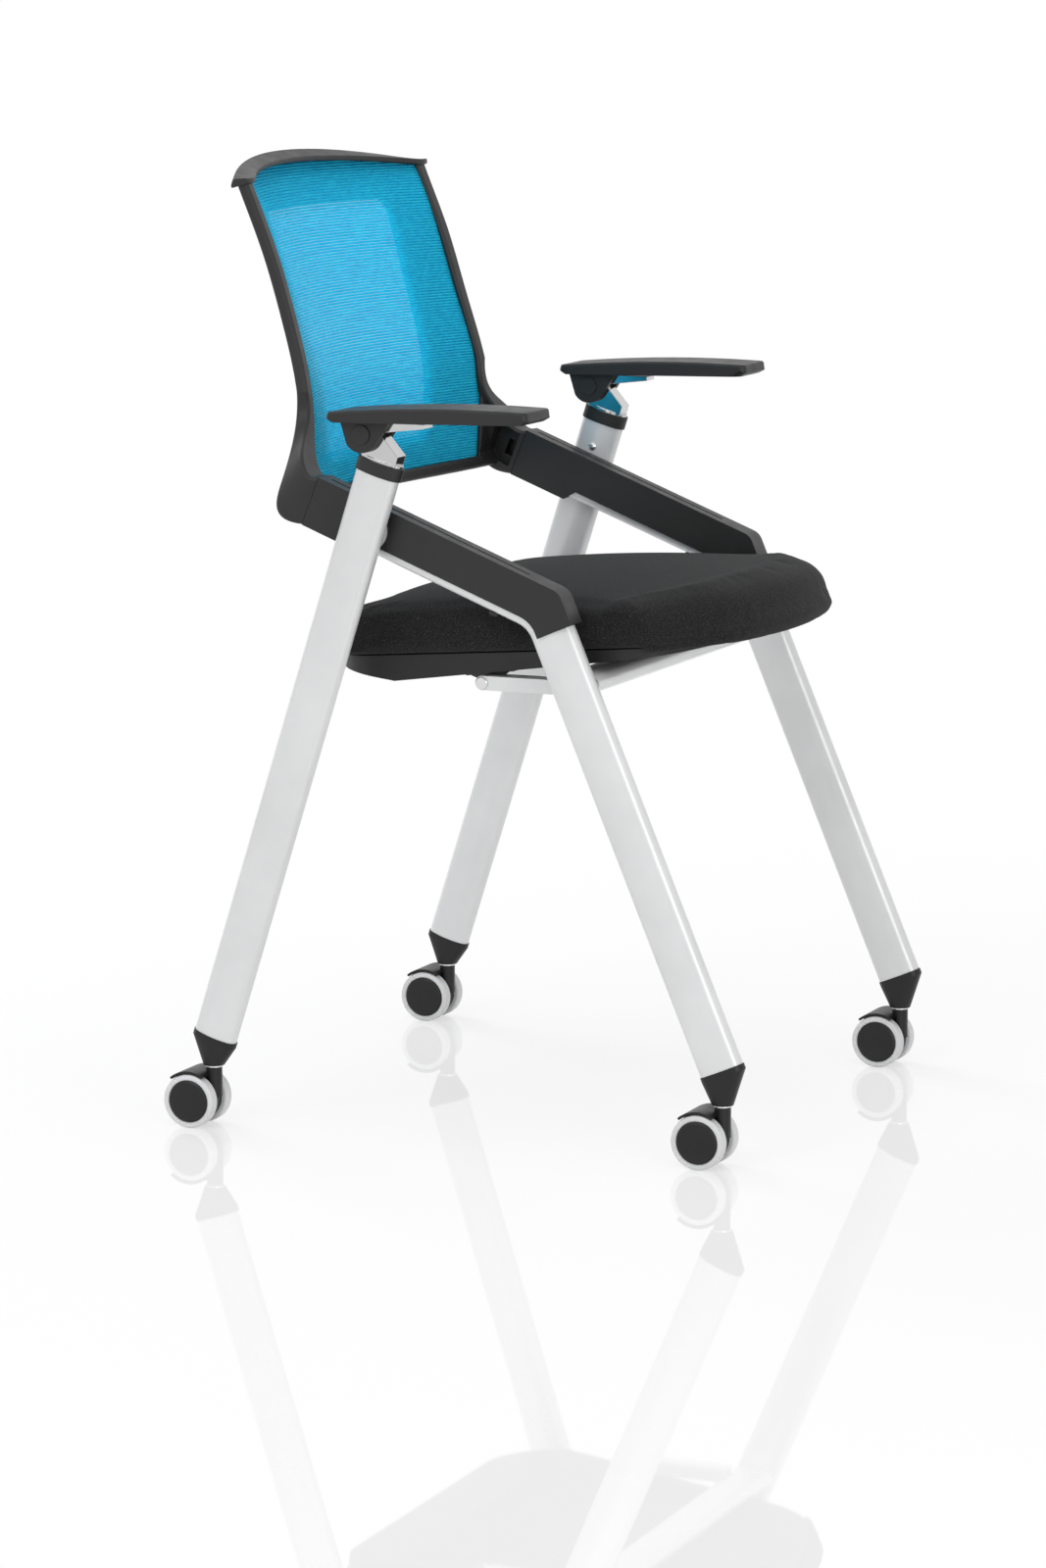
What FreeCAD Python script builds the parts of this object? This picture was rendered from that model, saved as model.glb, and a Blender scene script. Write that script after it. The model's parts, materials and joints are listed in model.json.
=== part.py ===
import FreeCAD, Part
import Sketcher
import math
import os

# Flip-seat nesting chair on castors.
# Millimetres. Z is up, the front of the chair faces -Y, the sitter's right is -X.
# The origin lies on the floor, under the middle of the chair.

doc = FreeCAD.newDocument("nesting_chair")
Vector = FreeCAD.Vector

# Driving sizes

SIZES = [
    # where the four castors stand, ahead of and behind the origin
    ("front_reach", 261.8),
    ("rear_reach", 229.3),
    # castors
    ("wheel_diameter", 50.0),
    ("wheel_width", 13.0),
    ("wheel_gap", 17.0),
    ("tread_depth", 5.3),
    ("castor_trail", 17.0),
    ("castor_height", 57.5),
    ("axle_diameter", 6.0),
    ("stem_diameter", 11.0),
    ("swivel_pin_diameter", 8.0),
    ("neck_diameter", 15.0),
    ("flange_thickness", 1.6),
    ("hood_wall", 2.2),
    ("hood_gap", 0.9),
    # oval tube
    ("tube_width", 42.0),
    ("tube_thickness", 22.0),
    ("tube_end_radius", 9.0),
    ("tube_wall", 1.6),
    # side frame
    ("front_lean", 23.0),
    ("rear_lean", 17.6),
    ("front_end_height", 88.5),
    ("rear_end_height", 85.0),
    ("front_end_offset", 1.0),
    ("rear_end_offset", 2.3),
    ("rail_rise", 21.6),
    ("rail_length", 241.5),
    ("bend_radius", 45.0),
    ("rear_leg_length", 550.0),
    ("leg_above_rail", 54.6),
    ("boss_diameter", 38.0),
    ("boss_length", 4.5),
    # leg caps
    ("cap_rim", 5.0),
    ("cap_lip", 0.8),
    ("cap_plug", 18.0),
    ("cap_foot_diameter", 19.6),
    ("stem_depth", 24.0),
    # rail covers
    ("cover_width", 26.0),
    ("cover_top", 3.0),
    ("cover_reveal", 9.5),
    ("cover_skirt", 1.8),
    ("cover_drop", 21.0),
    ("cover_step_back", 172.0),
    ("cover_corner_radius", 15.0),
    # seat support
    ("beam_width", 40.0),
    ("beam_height", 20.0),
    ("beam_rise", 8.0),
    ("seat_bar_inset", 17.0),
    ("seat_bar_width", 20.0),
    ("seat_bar_height", 13.0),
    ("seat_pin_diameter", 7.0),
    # seat
    ("seat_pivot_y", -15.2),
    ("seat_pivot_height", 418.0),
    ("seat_pitch", 7.9),
    ("seat_width", 426.0),
    ("seat_side_gap", 10.0),
    ("seat_back_reach", 162.0),
    ("seat_front_reach", 243.0),
    ("pan_floor", 8.7),
    ("pan_rim_height", 27.2),
    ("pan_wall", 3.5),
    ("pan_inset", 9.0),
    ("pan_front_inset", 25.0),
    ("pan_front_bow", 50.0),
    ("pan_rear_corner", 50.0),
    ("pan_front_corner", 55.0),
    ("pan_heel_reach", 66.0),
    ("pan_heel_rise", 17.5),
    ("cushion_gap", 0.3),
    ("cushion_height", 47.0),
    ("cushion_crown", 6.0),
    # arms
    ("collar_height", 12.0),
    ("collar_wall", 1.3),
    ("arm_pad_length", 195.3),
    ("arm_pad_width", 57.6),
    ("arm_pad_thickness", 11.0),
    ("arm_pad_outset", 3.5),
    ("arm_pad_rear", 28.1),
    ("arm_hinge_rise", 38.6),
    ("arm_hinge_back", 17.0),
    ("arm_pin_diameter", 8.0),
    ("arm_knuckle_radius", 11.2),
    ("arm_head_width", 18.0),
    ("arm_ear_thickness", 6.5),
    ("arm_ear_radius", 16.4),
    ("arm_shoulder_height", 2.5),
    ("arm_tongue_reach", 59.0),
    ("pivot_cap_diameter", 17.4),
    # back
    ("back_rise", 284.0),
    ("back_lean", 90.0),
    ("back_inset", 55.0),
    ("back_flare", 14.0),
    ("back_bow_top", 45.0),
    ("back_bow_bottom", 22.0),
    ("back_post_width", 15.0),
    ("back_post_depth", 11.5),
    ("back_top_arch", 17.5),
    ("mesh_thickness", 1.2),
    ("mesh_edge", 4.0),
    # fits
    ("running_fit", 0.05),
    ("slide_gap", 0.4),
    ("cover_fit", 0.15),
]

sheet = doc.addObject("Spreadsheet::Sheet", "sizes")
for row, (alias, number) in enumerate(SIZES, start=1):
    sheet.set("A%d" % row, alias.replace("_", " "))
    sheet.set("B%d" % row, str(number))
    sheet.setAlias("B%d" % row, alias)
doc.recompute()


class Size:
    """A size kept both as a number and as the spreadsheet formula it comes from."""

    def __init__(self, value, text):
        self.value = float(value)
        self.text = text

    def __add__(self, other):
        other = size(other)
        return Size(self.value + other.value, "(%s + %s)" % (self.text, other.text))

    def __sub__(self, other):
        other = size(other)
        return Size(self.value - other.value, "(%s - %s)" % (self.text, other.text))

    def __mul__(self, other):
        other = size(other)
        return Size(self.value * other.value, "(%s * %s)" % (self.text, other.text))

    def __truediv__(self, other):
        other = size(other)
        return Size(self.value / other.value, "(%s / %s)" % (self.text, other.text))

    def __neg__(self):
        return Size(-self.value, "(0 - %s)" % self.text)

    def __radd__(self, other):
        return size(other) + self

    def __rsub__(self, other):
        return size(other) - self

    def __rmul__(self, other):
        return size(other) * self


def size(thing):
    """A Size, from a Size or from a plain number."""
    if isinstance(thing, Size):
        return thing
    if thing < 0:
        return Size(thing, "(0 - %.6f)" % -thing)
    return Size(thing, "%.6f" % thing)


def given(alias):
    """A driving size, read from the spreadsheet."""
    return Size(sheet.get(alias), "sizes." + alias)


def sine(angle):
    return Size(math.sin(math.radians(angle.value)), "sin(%s)" % angle.text)


def cosine(angle):
    return Size(math.cos(math.radians(angle.value)), "cos(%s)" % angle.text)


def tangent(angle):
    return Size(math.tan(math.radians(angle.value)), "tan(%s)" % angle.text)


# Helpers for bodies, sketches and features

def new_body(name):
    body = doc.addObject("PartDesign::Body", name)
    body.Label = name
    return body


def origin_plane(body, role):
    for feature in body.Origin.OriginFeatures:
        if feature.Role == role:
            return feature
    raise ValueError(role)


def bind(thing, path, value):
    thing.setExpression(path, size(value).text)


def put(thing, x=0, y=0, z=0, axis=None, angle=0):
    """Place a body or primitive; the turn about the axis is bound as well."""
    if axis is not None:
        turn = FreeCAD.Rotation(Vector(*axis), size(angle).value)
        thing.Placement = FreeCAD.Placement(Vector(0, 0, 0), turn)
        bind(thing, "Placement.Rotation.Angle", angle)
    bind(thing, "Placement.Base.x", x)
    bind(thing, "Placement.Base.y", y)
    bind(thing, "Placement.Base.z", z)


def new_sketch(body, plane, offset=None, tilt=None):
    """A sketch on an origin plane, moved by offset and tilted about its own X axis."""
    sketch = body.newObject("Sketcher::SketchObject", body.Name + "_sketch")
    sketch.AttachmentSupport = [(origin_plane(body, plane), "")]
    sketch.MapMode = "FlatFace"
    if tilt is not None:
        axis, angle = tilt
        turn = FreeCAD.Rotation(Vector(*axis), size(angle).value)
        sketch.AttachmentOffset = FreeCAD.Placement(Vector(0, 0, 0), turn)
        bind(sketch, "AttachmentOffset.Rotation.Angle", angle)
    if offset is not None:
        for letter, amount in zip("xyz", offset):
            bind(sketch, "AttachmentOffset.Base." + letter, amount)
    return sketch


def fix_point(sketch, edge, end, u, v):
    """Hold one sketch point at (u, v) from the sketch origin."""
    for kind, axis_line, amount in (("DistanceX", -2, u), ("DistanceY", -1, v)):
        if not isinstance(amount, Size) and amount == 0:
            sketch.addConstraint(Sketcher.Constraint("PointOnObject", edge, end, axis_line))
            continue
        amount = size(amount)
        index = sketch.addConstraint(Sketcher.Constraint(kind, -1, 1, edge, end, amount.value))
        bind(sketch, "Constraints[%d]" % index, amount)


def draw(sketch, corners, closed=True):
    """Lines and arcs through corners (u, v) or (u, v, radius, side).

    A radius makes the edge that leaves the corner an arc that bulges to the left of the
    way along it (side 1) or to the right (side -1).
    """
    count = len(corners)
    edges = []
    for number in range(count if closed else count - 1):
        here = corners[number]
        there = corners[(number + 1) % count]
        start = Vector(size(here[0]).value, size(here[1]).value, 0)
        end = Vector(size(there[0]).value, size(there[1]).value, 0)
        if len(here) == 2:
            edge = sketch.addGeometry(Part.LineSegment(start, end), False)
            edges.append((edge, 1, 2))
            continue
        radius, side = size(here[2]), here[3]
        chord = end - start
        left = Vector(-chord.y, chord.x, 0)
        left.normalize()
        rise = math.sqrt(max(radius.value ** 2 - (chord.Length / 2) ** 2, 0))
        middle = (start + end) * 0.5 - left * (rise * side)
        first, last = (end, start) if side > 0 else (start, end)
        angles = [math.atan2(p.y - middle.y, p.x - middle.x) for p in (first, last)]
        circle = Part.Circle(middle, Vector(0, 0, 1), radius.value)
        edge = sketch.addGeometry(Part.ArcOfCircle(circle, angles[0], angles[1]), False)
        edges.append((edge, 2, 1) if side > 0 else (edge, 1, 2))
        index = sketch.addConstraint(Sketcher.Constraint("Radius", edge, radius.value))
        bind(sketch, "Constraints[%d]" % index, radius)
    for number in range(len(edges) if closed else len(edges) - 1):
        edge, _, end = edges[number]
        following, start, _ = edges[(number + 1) % len(edges)]
        sketch.addConstraint(Sketcher.Constraint("Coincident", edge, end, following, start))
    for (edge, start, _), corner in zip(edges, corners):
        fix_point(sketch, edge, start, corner[0], corner[1])
    if not closed:
        fix_point(sketch, edges[-1][0], edges[-1][2], corners[-1][0], corners[-1][1])
    return sketch


def draw_circle(sketch, u, v, radius):
    radius = size(radius)
    middle = Vector(size(u).value, size(v).value, 0)
    edge = sketch.addGeometry(Part.Circle(middle, Vector(0, 0, 1), radius.value), False)
    fix_point(sketch, edge, 3, u, v)
    index = sketch.addConstraint(Sketcher.Constraint("Radius", edge, radius.value))
    bind(sketch, "Constraints[%d]" % index, radius)
    return sketch


def draw_oval(sketch, half_u, half_v, end_radius):
    """Four-arc oval about the sketch origin, long along v, tight at its two v ends."""
    flat_radius = (half_v * half_v + half_u * half_u - 2 * half_v * end_radius) / (2 * (half_u - end_radius))
    share = end_radius / (flat_radius - end_radius)
    u = (flat_radius - half_u) * share
    v = (half_v - end_radius) * (1 + share)
    draw(sketch, [
        (u, -v, flat_radius, -1),
        (u, v, end_radius, -1),
        (-u, v, flat_radius, -1),
        (-u, -v, end_radius, -1),
    ])
    return sketch


def pad(body, sketch, length, middle=False, back=False):
    feature = body.newObject("PartDesign::Pad", body.Name + "_pad")
    feature.Profile = sketch
    bind(feature, "Length", length)
    if middle:
        feature.SideType = "Symmetric"
    feature.Reversed = back
    return feature


def pocket(body, sketch, length=None, middle=False, back=False):
    feature = body.newObject("PartDesign::Pocket", body.Name + "_pocket")
    feature.Profile = sketch
    if middle:
        feature.SideType = "Symmetric"
    if length is None:
        feature.Type = "ThroughAll"
    else:
        bind(feature, "Length", length)
    feature.Reversed = back
    return feature


def revolve(body, sketch, axis):
    feature = body.newObject("PartDesign::Revolution", body.Name + "_turned")
    feature.Profile = sketch
    feature.ReferenceAxis = (sketch, [axis])
    feature.Angle = 360
    return feature


def round_edges(body, radius, chosen, kind="PartDesign::Fillet"):
    """Fillet or chamfer the edges of the body's last feature that the test chooses."""
    doc.recompute()
    base = body.Tip
    names = ["Edge%d" % (n + 1) for n, edge in enumerate(base.Shape.Edges) if chosen(edge)]
    feature = body.newObject(kind, body.Name + "_rounding")
    feature.Base = (base, names)
    bind(feature, "Radius" if kind.endswith("Fillet") else "Size", radius)
    return feature


def along(edge, direction):
    """True for a straight edge that runs along the direction."""
    if not isinstance(edge.Curve, Part.Line):
        return False
    return abs(abs(edge.Curve.Direction.dot(Vector(*direction))) - 1) < 1e-6


def near(edge, x=None, y=None, z=None, reach=0.6):
    middle = edge.CenterOfMass
    for value, wanted in ((middle.x, x), (middle.y, y), (middle.z, z)):
        if wanted is not None and abs(value - size(wanted).value) > reach:
            return False
    return True


def top_face_edges(body):
    """Edges round the highest large face of the body so far."""
    doc.recompute()
    large = [face for face in body.Tip.Shape.Faces if face.Area > 1000]
    return max(large, key=lambda face: face.CenterOfMass.z).Edges


def mirrored(source, name):
    """The left-hand twin of a right-hand piece."""
    twin = doc.addObject("Part::Mirroring", name)
    twin.Source = source
    twin.Base = Vector(0, 0, 0)
    twin.Normal = Vector(1, 0, 0)
    twin.Label = name
    return twin


def joined(name, members):
    """Several like pieces kept as one group."""
    group = doc.addObject("Part::Compound", name)
    group.Links = members
    group.Label = name
    return group


def pair(name, make):
    """Right and left copies of a piece."""
    right = make("right_" + name)
    left = mirrored(right, "left_" + name)
    return [right, left]


def both_sides(name, make):
    """Right and left copies of a piece, as one group."""
    right = make(name + "_right")
    left = mirrored(right, name + "_left")
    return joined(name, [right, left])


# Named places worked out from the driving sizes

front_x = given("seat_width") / 2 + given("seat_side_gap") + given("cover_width") / 2
rear_x = front_x + given("tube_thickness") + given("boss_length")
front_y = -given("front_reach")
rear_y = given("rear_reach")
half_width = given("tube_width") / 2
half_thick = given("tube_thickness") / 2
front_lean = given("front_lean")
rear_lean = given("rear_lean")
rise = given("rail_rise")

front_end = (front_y + given("front_end_offset"), given("front_end_height"))
rear_end = (rear_y - given("rear_end_offset"), given("rear_end_height"))
rail_along = (cosine(rise), sine(rise))
rail_up = (-sine(rise), cosine(rise))
leg_up = (sine(front_lean), cosine(front_lean))
leg_ahead = (-cosine(front_lean), sine(front_lean))
cross_reach = given("rear_leg_length") - given("leg_above_rail")
cross = (rear_end[0] - cross_reach * sine(rear_lean), rear_end[1] + cross_reach * cosine(rear_lean))
top_end = (
    rear_end[0] - given("rear_leg_length") * sine(rear_lean),
    rear_end[1] + given("rear_leg_length") * cosine(rear_lean),
)
leg_foot = front_end[0] - front_end[1] * tangent(front_lean)
corner_z = (cross[1] + (leg_foot - cross[0]) * tangent(rise)) / (1 - tangent(front_lean) * tangent(rise))
corner = (leg_foot + corner_z * tangent(front_lean), corner_z)
rail_end = (corner[0] + given("rail_length") * rail_along[0], corner[1] + given("rail_length") * rail_along[1])


def on_rail(reach, lift):
    """Point at a distance along the rail from its corner, lifted off its middle line."""
    return (
        corner[0] + rail_along[0] * reach + rail_up[0] * lift,
        corner[1] + rail_along[1] * reach + rail_up[1] * lift,
    )


def on_leg(drop, ahead):
    """Point at a distance down the front leg from its corner, ahead of its middle line."""
    return (
        corner[0] - leg_up[0] * drop + leg_ahead[0] * ahead,
        corner[1] - leg_up[1] * drop + leg_ahead[1] * ahead,
    )


def at_corner(lift):
    """Corner of the lines that run at one distance outside rail and leg."""
    share = lift / (1 + sine(rise + front_lean))
    return (
        corner[0] + share * (rail_up[0] + leg_ahead[0]),
        corner[1] + share * (rail_up[1] + leg_ahead[1]),
    )


# Tube frame

def oval_tube(sketch):
    draw_oval(sketch, half_thick, half_width, given("tube_end_radius"))
    wall = given("tube_wall")
    draw_oval(sketch, half_thick - wall, half_width - wall, given("tube_end_radius") - wall)
    return sketch


def front_frame_tube(name):
    body = new_body(name)
    reach = given("bend_radius") * tangent((90 - front_lean - rise) / 2)
    first = on_leg(reach, size(0))
    second = on_rail(reach, size(0))
    spine = new_sketch(body, "YZ_Plane")
    draw(spine, [front_end, first + (given("bend_radius"), 1), second, rail_end], closed=False)
    section = new_sketch(body, "XY_Plane", (0, front_end[0], front_end[1]), ((-1, 0, 0), front_lean))
    oval_tube(section)
    pipe = body.newObject("PartDesign::AdditivePipe", name + "_pipe")
    pipe.Profile = section
    pipe.Spine = (spine, ["Edge1", "Edge2", "Edge3"])
    put(body, -front_x)
    return body


def rear_leg(name):
    body = new_body(name)
    pad(body, oval_tube(new_sketch(body, "XY_Plane")), given("rear_leg_length"))
    hole = draw_circle(new_sketch(body, "YZ_Plane"), 0, given("rear_leg_length") - 24, size(2.0))
    pocket(body, hole, given("tube_thickness"), back=True)
    put(body, -rear_x, rear_end[0], rear_end[1], (1, 0, 0), rear_lean)
    return body


def leg_boss(name):
    body = new_body(name)
    disc = draw_circle(new_sketch(body, "YZ_Plane"), 0, 0, given("boss_diameter") / 2)
    pad(body, disc, rear_x - front_x - given("tube_thickness"))
    put(body, half_thick - rear_x, cross[0], cross[1])
    return body


beam_z = given("seat_pivot_height") + given("beam_rise")
beam_y = leg_foot + beam_z * tangent(front_lean)


def oval_beam(sketch, shrink):
    half_z = given("beam_height") / 2 - shrink
    half_y = given("beam_width") / 2 - shrink
    return draw_oval(sketch, half_z, half_y, given("beam_height") * 0.42 - shrink)


def seat_cross_beam(name):
    body = new_body(name)
    section = new_sketch(body, "XY_Plane")
    oval_beam(section, size(0))
    oval_beam(section, given("tube_wall"))
    pad(body, section, (front_x - half_thick - 0.1) * 2, middle=True)
    put(body, 0, beam_y, beam_z, (0, 1, 0), 90)
    return body


pivot_y = given("seat_pivot_y")
pivot_z = given("seat_pivot_height")
bar_x = given("seat_width") / 2 - given("seat_bar_inset")


def seat_bar(name):
    """Bar from the cross beam back to the seat hinge, with a round hinge end."""
    body = new_body(name)
    half = given("seat_bar_height") / 2
    side = new_sketch(body, "YZ_Plane")
    ahead = beam_y - pivot_y + given("beam_width") * 0.4
    draw(side, [
        (0, half),
        (ahead, half),
        (ahead, -half),
        (0, -half, half, -1),
        (half, 0, half, -1),
    ])
    pad(body, side, given("seat_bar_width"), middle=True)
    cope = new_sketch(body, "YZ_Plane", None, None)
    half_z = given("beam_height") / 2
    half_y = given("beam_width") / 2
    end_radius = given("beam_height") * 0.42
    middle_y = beam_y - pivot_y + half_y - end_radius
    draw_circle(cope, middle_y, beam_z - pivot_z, end_radius + 0.05)
    pocket(body, cope, given("seat_bar_width") * 2, middle=True)
    clear = new_sketch(body, "YZ_Plane")
    draw(clear, [
        (middle_y, beam_z - pivot_z - half_z * 2),
        (middle_y, beam_z - pivot_z + half_z * 2),
        (middle_y - half_y * 2, beam_z - pivot_z + half_z * 2),
        (middle_y - half_y * 2, beam_z - pivot_z - half_z * 2),
    ])
    pocket(body, clear, given("seat_bar_width") * 2, middle=True)
    bore = draw_circle(new_sketch(body, "YZ_Plane"), 0, 0, given("seat_pin_diameter") / 2)
    pocket(body, bore, given("seat_bar_width") * 2, middle=True)
    put(body, -bar_x, pivot_y, pivot_z)
    return body


def seat_rest(name):
    """Rubber rest on the cross beam that the seat pan comes down on."""
    body = new_body(name)
    radius = 8.0
    pitch = given("seat_pitch")
    back = beam_y + radius - pivot_y
    floor = pivot_z + given("pan_floor") / cosine(pitch) - back * tangent(pitch)
    foot = beam_z + given("beam_height") / 2 + 0.05
    disc = draw_circle(new_sketch(body, "XY_Plane"), 0, 0, size(radius))
    pad(body, disc, floor - 0.3 - foot)
    put(body, -bar_x * 0.64, beam_y, foot)
    return body


# Rail covers

def rail_cover(name):
    body = new_body(name)
    over = half_width + given("cover_top")
    under = -(half_width - given("cover_reveal"))
    skirt = -(half_width + given("cover_skirt"))
    length = given("rail_length")
    drop = given("cover_drop")
    step = given("cover_step_back")
    fit = given("cover_fit")
    outline = new_sketch(body, "YZ_Plane")
    draw(outline, [
        on_rail(length, over),
        at_corner(over),
        on_leg(drop, over),
        on_leg(drop, under),
        at_corner(under),
        on_rail(step, under),
        on_rail(step + 9, skirt),
        on_rail(length, skirt),
    ])
    pad(body, outline, given("cover_width"), middle=True)
    outer, inner = at_corner(over), at_corner(under)
    for radius, place in ((given("cover_corner_radius"), outer), (given("bend_radius") * 0.6, inner)):
        round_edges(body, radius, lambda e: along(e, (1, 0, 0)) and near(e, y=place[0], z=place[1]))
    inside = new_sketch(body, "YZ_Plane")
    open_below = -(half_width + 6)
    draw(inside, [
        on_rail(length + 1, half_width + fit),
        at_corner(half_width + fit),
        on_leg(drop + 2, half_width + fit),
        on_leg(drop + 2, open_below),
        at_corner(open_below),
        on_rail(step + 6, open_below),
        on_rail(step + 11, -(half_width + fit)),
        on_rail(length + 1, -(half_width + fit)),
    ])
    pocket(body, inside, given("tube_thickness") + fit * 2, middle=True)
    groove = new_sketch(body, "YZ_Plane")
    draw(groove, [
        on_rail(length - 8, over + 1),
        on_rail(size(26), over + 1),
        on_rail(size(26), over - 1),
        on_rail(length - 8, over - 1),
    ])
    pocket(body, groove, size(3.2), middle=True)
    hole = draw_circle(new_sketch(body, "YZ_Plane"), cross[0], cross[1], given("boss_diameter") / 2 + fit)
    pocket(body, hole, given("cover_width"), back=False)
    put(body, -front_x)
    return body


def rail_stop(name):
    """Small round stop under the rail, just behind the bend."""
    body = new_body(name)
    knob = draw_circle(new_sketch(body, "XY_Plane"), 0, 0, size(4.5))
    pad(body, knob, size(3.0), back=True)
    place = on_rail(size(44.0), -(half_width + 0.05))
    put(body, -front_x, place[0], place[1], (1, 0, 0), rise)
    return body


# Leg caps and castors

def leg_cap(name, x, y, end, lean, axis):
    """Tapered cap on a leg end; its foot takes the castor stem."""
    body = new_body(name)
    sign = -1 if axis[0] < 0 else 1
    shift_y = end[0] - y
    up_y = sine(lean) * -sign
    up_z = cosine(lean)
    foot = new_sketch(body, "XY_Plane", (0, 0, given("castor_height")))
    radius = given("cap_foot_diameter") / 2
    corner_u = radius * 0.8
    corner_v = radius * 0.6
    draw(foot, [
        (corner_u, -corner_v, radius, -1),
        (corner_u, corner_v, radius, -1),
        (-corner_u, corner_v, radius, -1),
        (-corner_u, -corner_v, radius, -1),
    ])
    lip = given("cap_lip")
    rim_place = (0, shift_y - up_y * given("cap_rim"), end[1] - up_z * given("cap_rim"))
    rim = new_sketch(body, "XY_Plane", rim_place, (axis, lean))
    draw_oval(rim, half_thick + lip, half_width + lip, given("tube_end_radius") + lip)
    loft = body.newObject("PartDesign::AdditiveLoft", name + "_taper")
    loft.Profile = foot
    loft.Sections = [rim]
    loft.Ruled = True
    band = new_sketch(body, "XY_Plane", rim_place, (axis, lean))
    draw_oval(band, half_thick + lip, half_width + lip, given("tube_end_radius") + lip)
    pad(body, band, given("cap_rim"))
    wall = given("tube_wall") + 0.05
    plug = new_sketch(body, "XY_Plane", (0, shift_y, end[1]), (axis, lean))
    draw_oval(plug, half_thick - wall, half_width - wall, given("tube_end_radius") - wall)
    pad(body, plug, given("cap_plug"))
    bore = new_sketch(body, "XY_Plane", (0, 0, given("castor_height")))
    draw_circle(bore, 0, 0, given("stem_diameter") / 2)
    pocket(body, bore, given("stem_depth"), back=True)
    put(body, x, y)
    return body


wheel_radius = given("wheel_diameter") / 2
trail = given("castor_trail")
web = given("wheel_gap") - given("slide_gap") * 2
flange_low = given("castor_height") - given("flange_thickness")


def castor_stem(name, x, y):
    """Stem held in the cap: flange under the foot, swivel pin in the fork."""
    body = new_body(name)
    stem = given("stem_diameter") / 2
    pin = given("swivel_pin_diameter") / 2
    top = given("castor_height") + given("stem_depth") - 1
    low = wheel_radius + 9
    profile = new_sketch(body, "XZ_Plane")
    draw(profile, [
        (0, low),
        (pin, low),
        (pin, flange_low),
        (given("neck_diameter") / 2 + 0.8, flange_low),
        (given("neck_diameter") / 2 + 0.8, given("castor_height")),
        (stem, given("castor_height")),
        (stem, top),
        (0, top),
    ])
    revolve(body, profile, "V_Axis")
    put(body, x, y)
    return body


def castor_fork(name, x, y):
    """Hooded fork: web between the wheels, hood over them, neck up to the stem."""
    body = new_body(name)
    disc = draw_circle(new_sketch(body, "YZ_Plane"), trail, wheel_radius, wheel_radius * 0.82)
    pad(body, disc, web, middle=True)
    hood_low = wheel_radius + given("hood_gap")
    hood_high = hood_low + given("hood_wall")
    rear_cos, rear_sin = 0.66, 0.7513
    front_cos, front_sin = -0.52, 0.8542
    spread = given("wheel_width") * 2 + given("wheel_gap") - 2.4

    def at(radius, part_cos, part_sin):
        return (trail + radius * part_cos, wheel_radius + radius * part_sin)

    hood = new_sketch(body, "YZ_Plane")
    draw(hood, [
        at(hood_high, rear_cos, rear_sin) + (hood_high, -1),
        at(hood_high, front_cos, front_sin),
        at(hood_low, front_cos, front_sin) + (hood_low, 1),
        at(hood_low, rear_cos, rear_sin),
    ])
    rib = new_sketch(body, "YZ_Plane")
    root = wheel_radius * 0.6
    draw(rib, [
        at(hood_high, rear_cos, rear_sin) + (hood_high, -1),
        at(hood_high, front_cos, front_sin),
        at(root, front_cos, front_sin) + (root, 1),
        at(root, rear_cos, rear_sin),
    ])
    pad(body, rib, web, middle=True)
    pad(body, hood, spread, middle=True)
    neck = new_sketch(body, "XY_Plane", (0, 0, wheel_radius + 3))
    draw_circle(neck, 0, 0, given("neck_diameter") / 2)
    pad(body, neck, flange_low - given("slide_gap") - wheel_radius - 3)
    bore = new_sketch(body, "XY_Plane", (0, 0, flange_low))
    draw_circle(bore, 0, 0, given("swivel_pin_diameter") / 2 + given("running_fit"))
    pocket(body, bore, flange_low - wheel_radius - 8.6)
    axle = draw_circle(new_sketch(body, "YZ_Plane"), trail, wheel_radius, given("axle_diameter") / 2)
    pocket(body, axle, spread, middle=True)
    put(body, x, y)
    return body


def castor_axle(name, x, y):
    body = new_body(name)
    rod = draw_circle(new_sketch(body, "YZ_Plane"), trail, wheel_radius, given("axle_diameter") / 2)
    pad(body, rod, given("wheel_gap") + given("wheel_width") * 2 - 9, middle=True)
    put(body, x, y)
    return body


hub_radius = wheel_radius - given("tread_depth")


def place_wheel(body, x, y, outward):
    """Put a wheel, drawn along +X from its inner face, on one side of its fork."""
    turn = 0 if outward > 0 else 180
    body.Placement = FreeCAD.Placement(Vector(0, 0, 0), FreeCAD.Rotation(Vector(0, 0, 1), turn))
    bind(body, "Placement.Base.x", x + outward * (given("wheel_gap") / 2))
    bind(body, "Placement.Base.y", y + trail)
    bind(body, "Placement.Base.z", wheel_radius)


def wheel_hub(name, x, y, outward):
    body = new_body(name)
    bore = given("axle_diameter") / 2 + given("running_fit")
    width = given("wheel_width")
    profile = new_sketch(body, "XY_Plane")
    dome_edge = hub_radius - 2.2
    dome = 1.4
    dome_radius = (dome_edge * dome_edge + dome * dome) / (2 * dome)
    draw(profile, [
        (0, bore),
        (0, hub_radius),
        (width - 1.6, hub_radius),
        (width - 0.4, dome_edge, dome_radius, 1),
        (width - 0.4 + dome, 0),
        (width - 4, 0),
        (width - 4, bore),
    ])
    revolve(body, profile, "H_Axis")
    place_wheel(body, x, y, outward)
    return body


def wheel_tread(name, x, y, outward):
    body = new_body(name)
    width = given("wheel_width")
    round_off = 2.4
    profile = new_sketch(body, "XY_Plane")
    draw(profile, [
        (0.4, hub_radius),
        (0.4, wheel_radius - round_off, size(round_off), 1),
        (0.4 + round_off, wheel_radius),
        (width - 0.5 - round_off, wheel_radius, size(round_off), 1),
        (width - 0.5, wheel_radius - round_off),
        (width - 0.5, hub_radius + 1.0),
        (width - 1.6, hub_radius),
    ])
    revolve(body, profile, "H_Axis")
    place_wheel(body, x, y, outward)
    return body


# Seat

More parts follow.
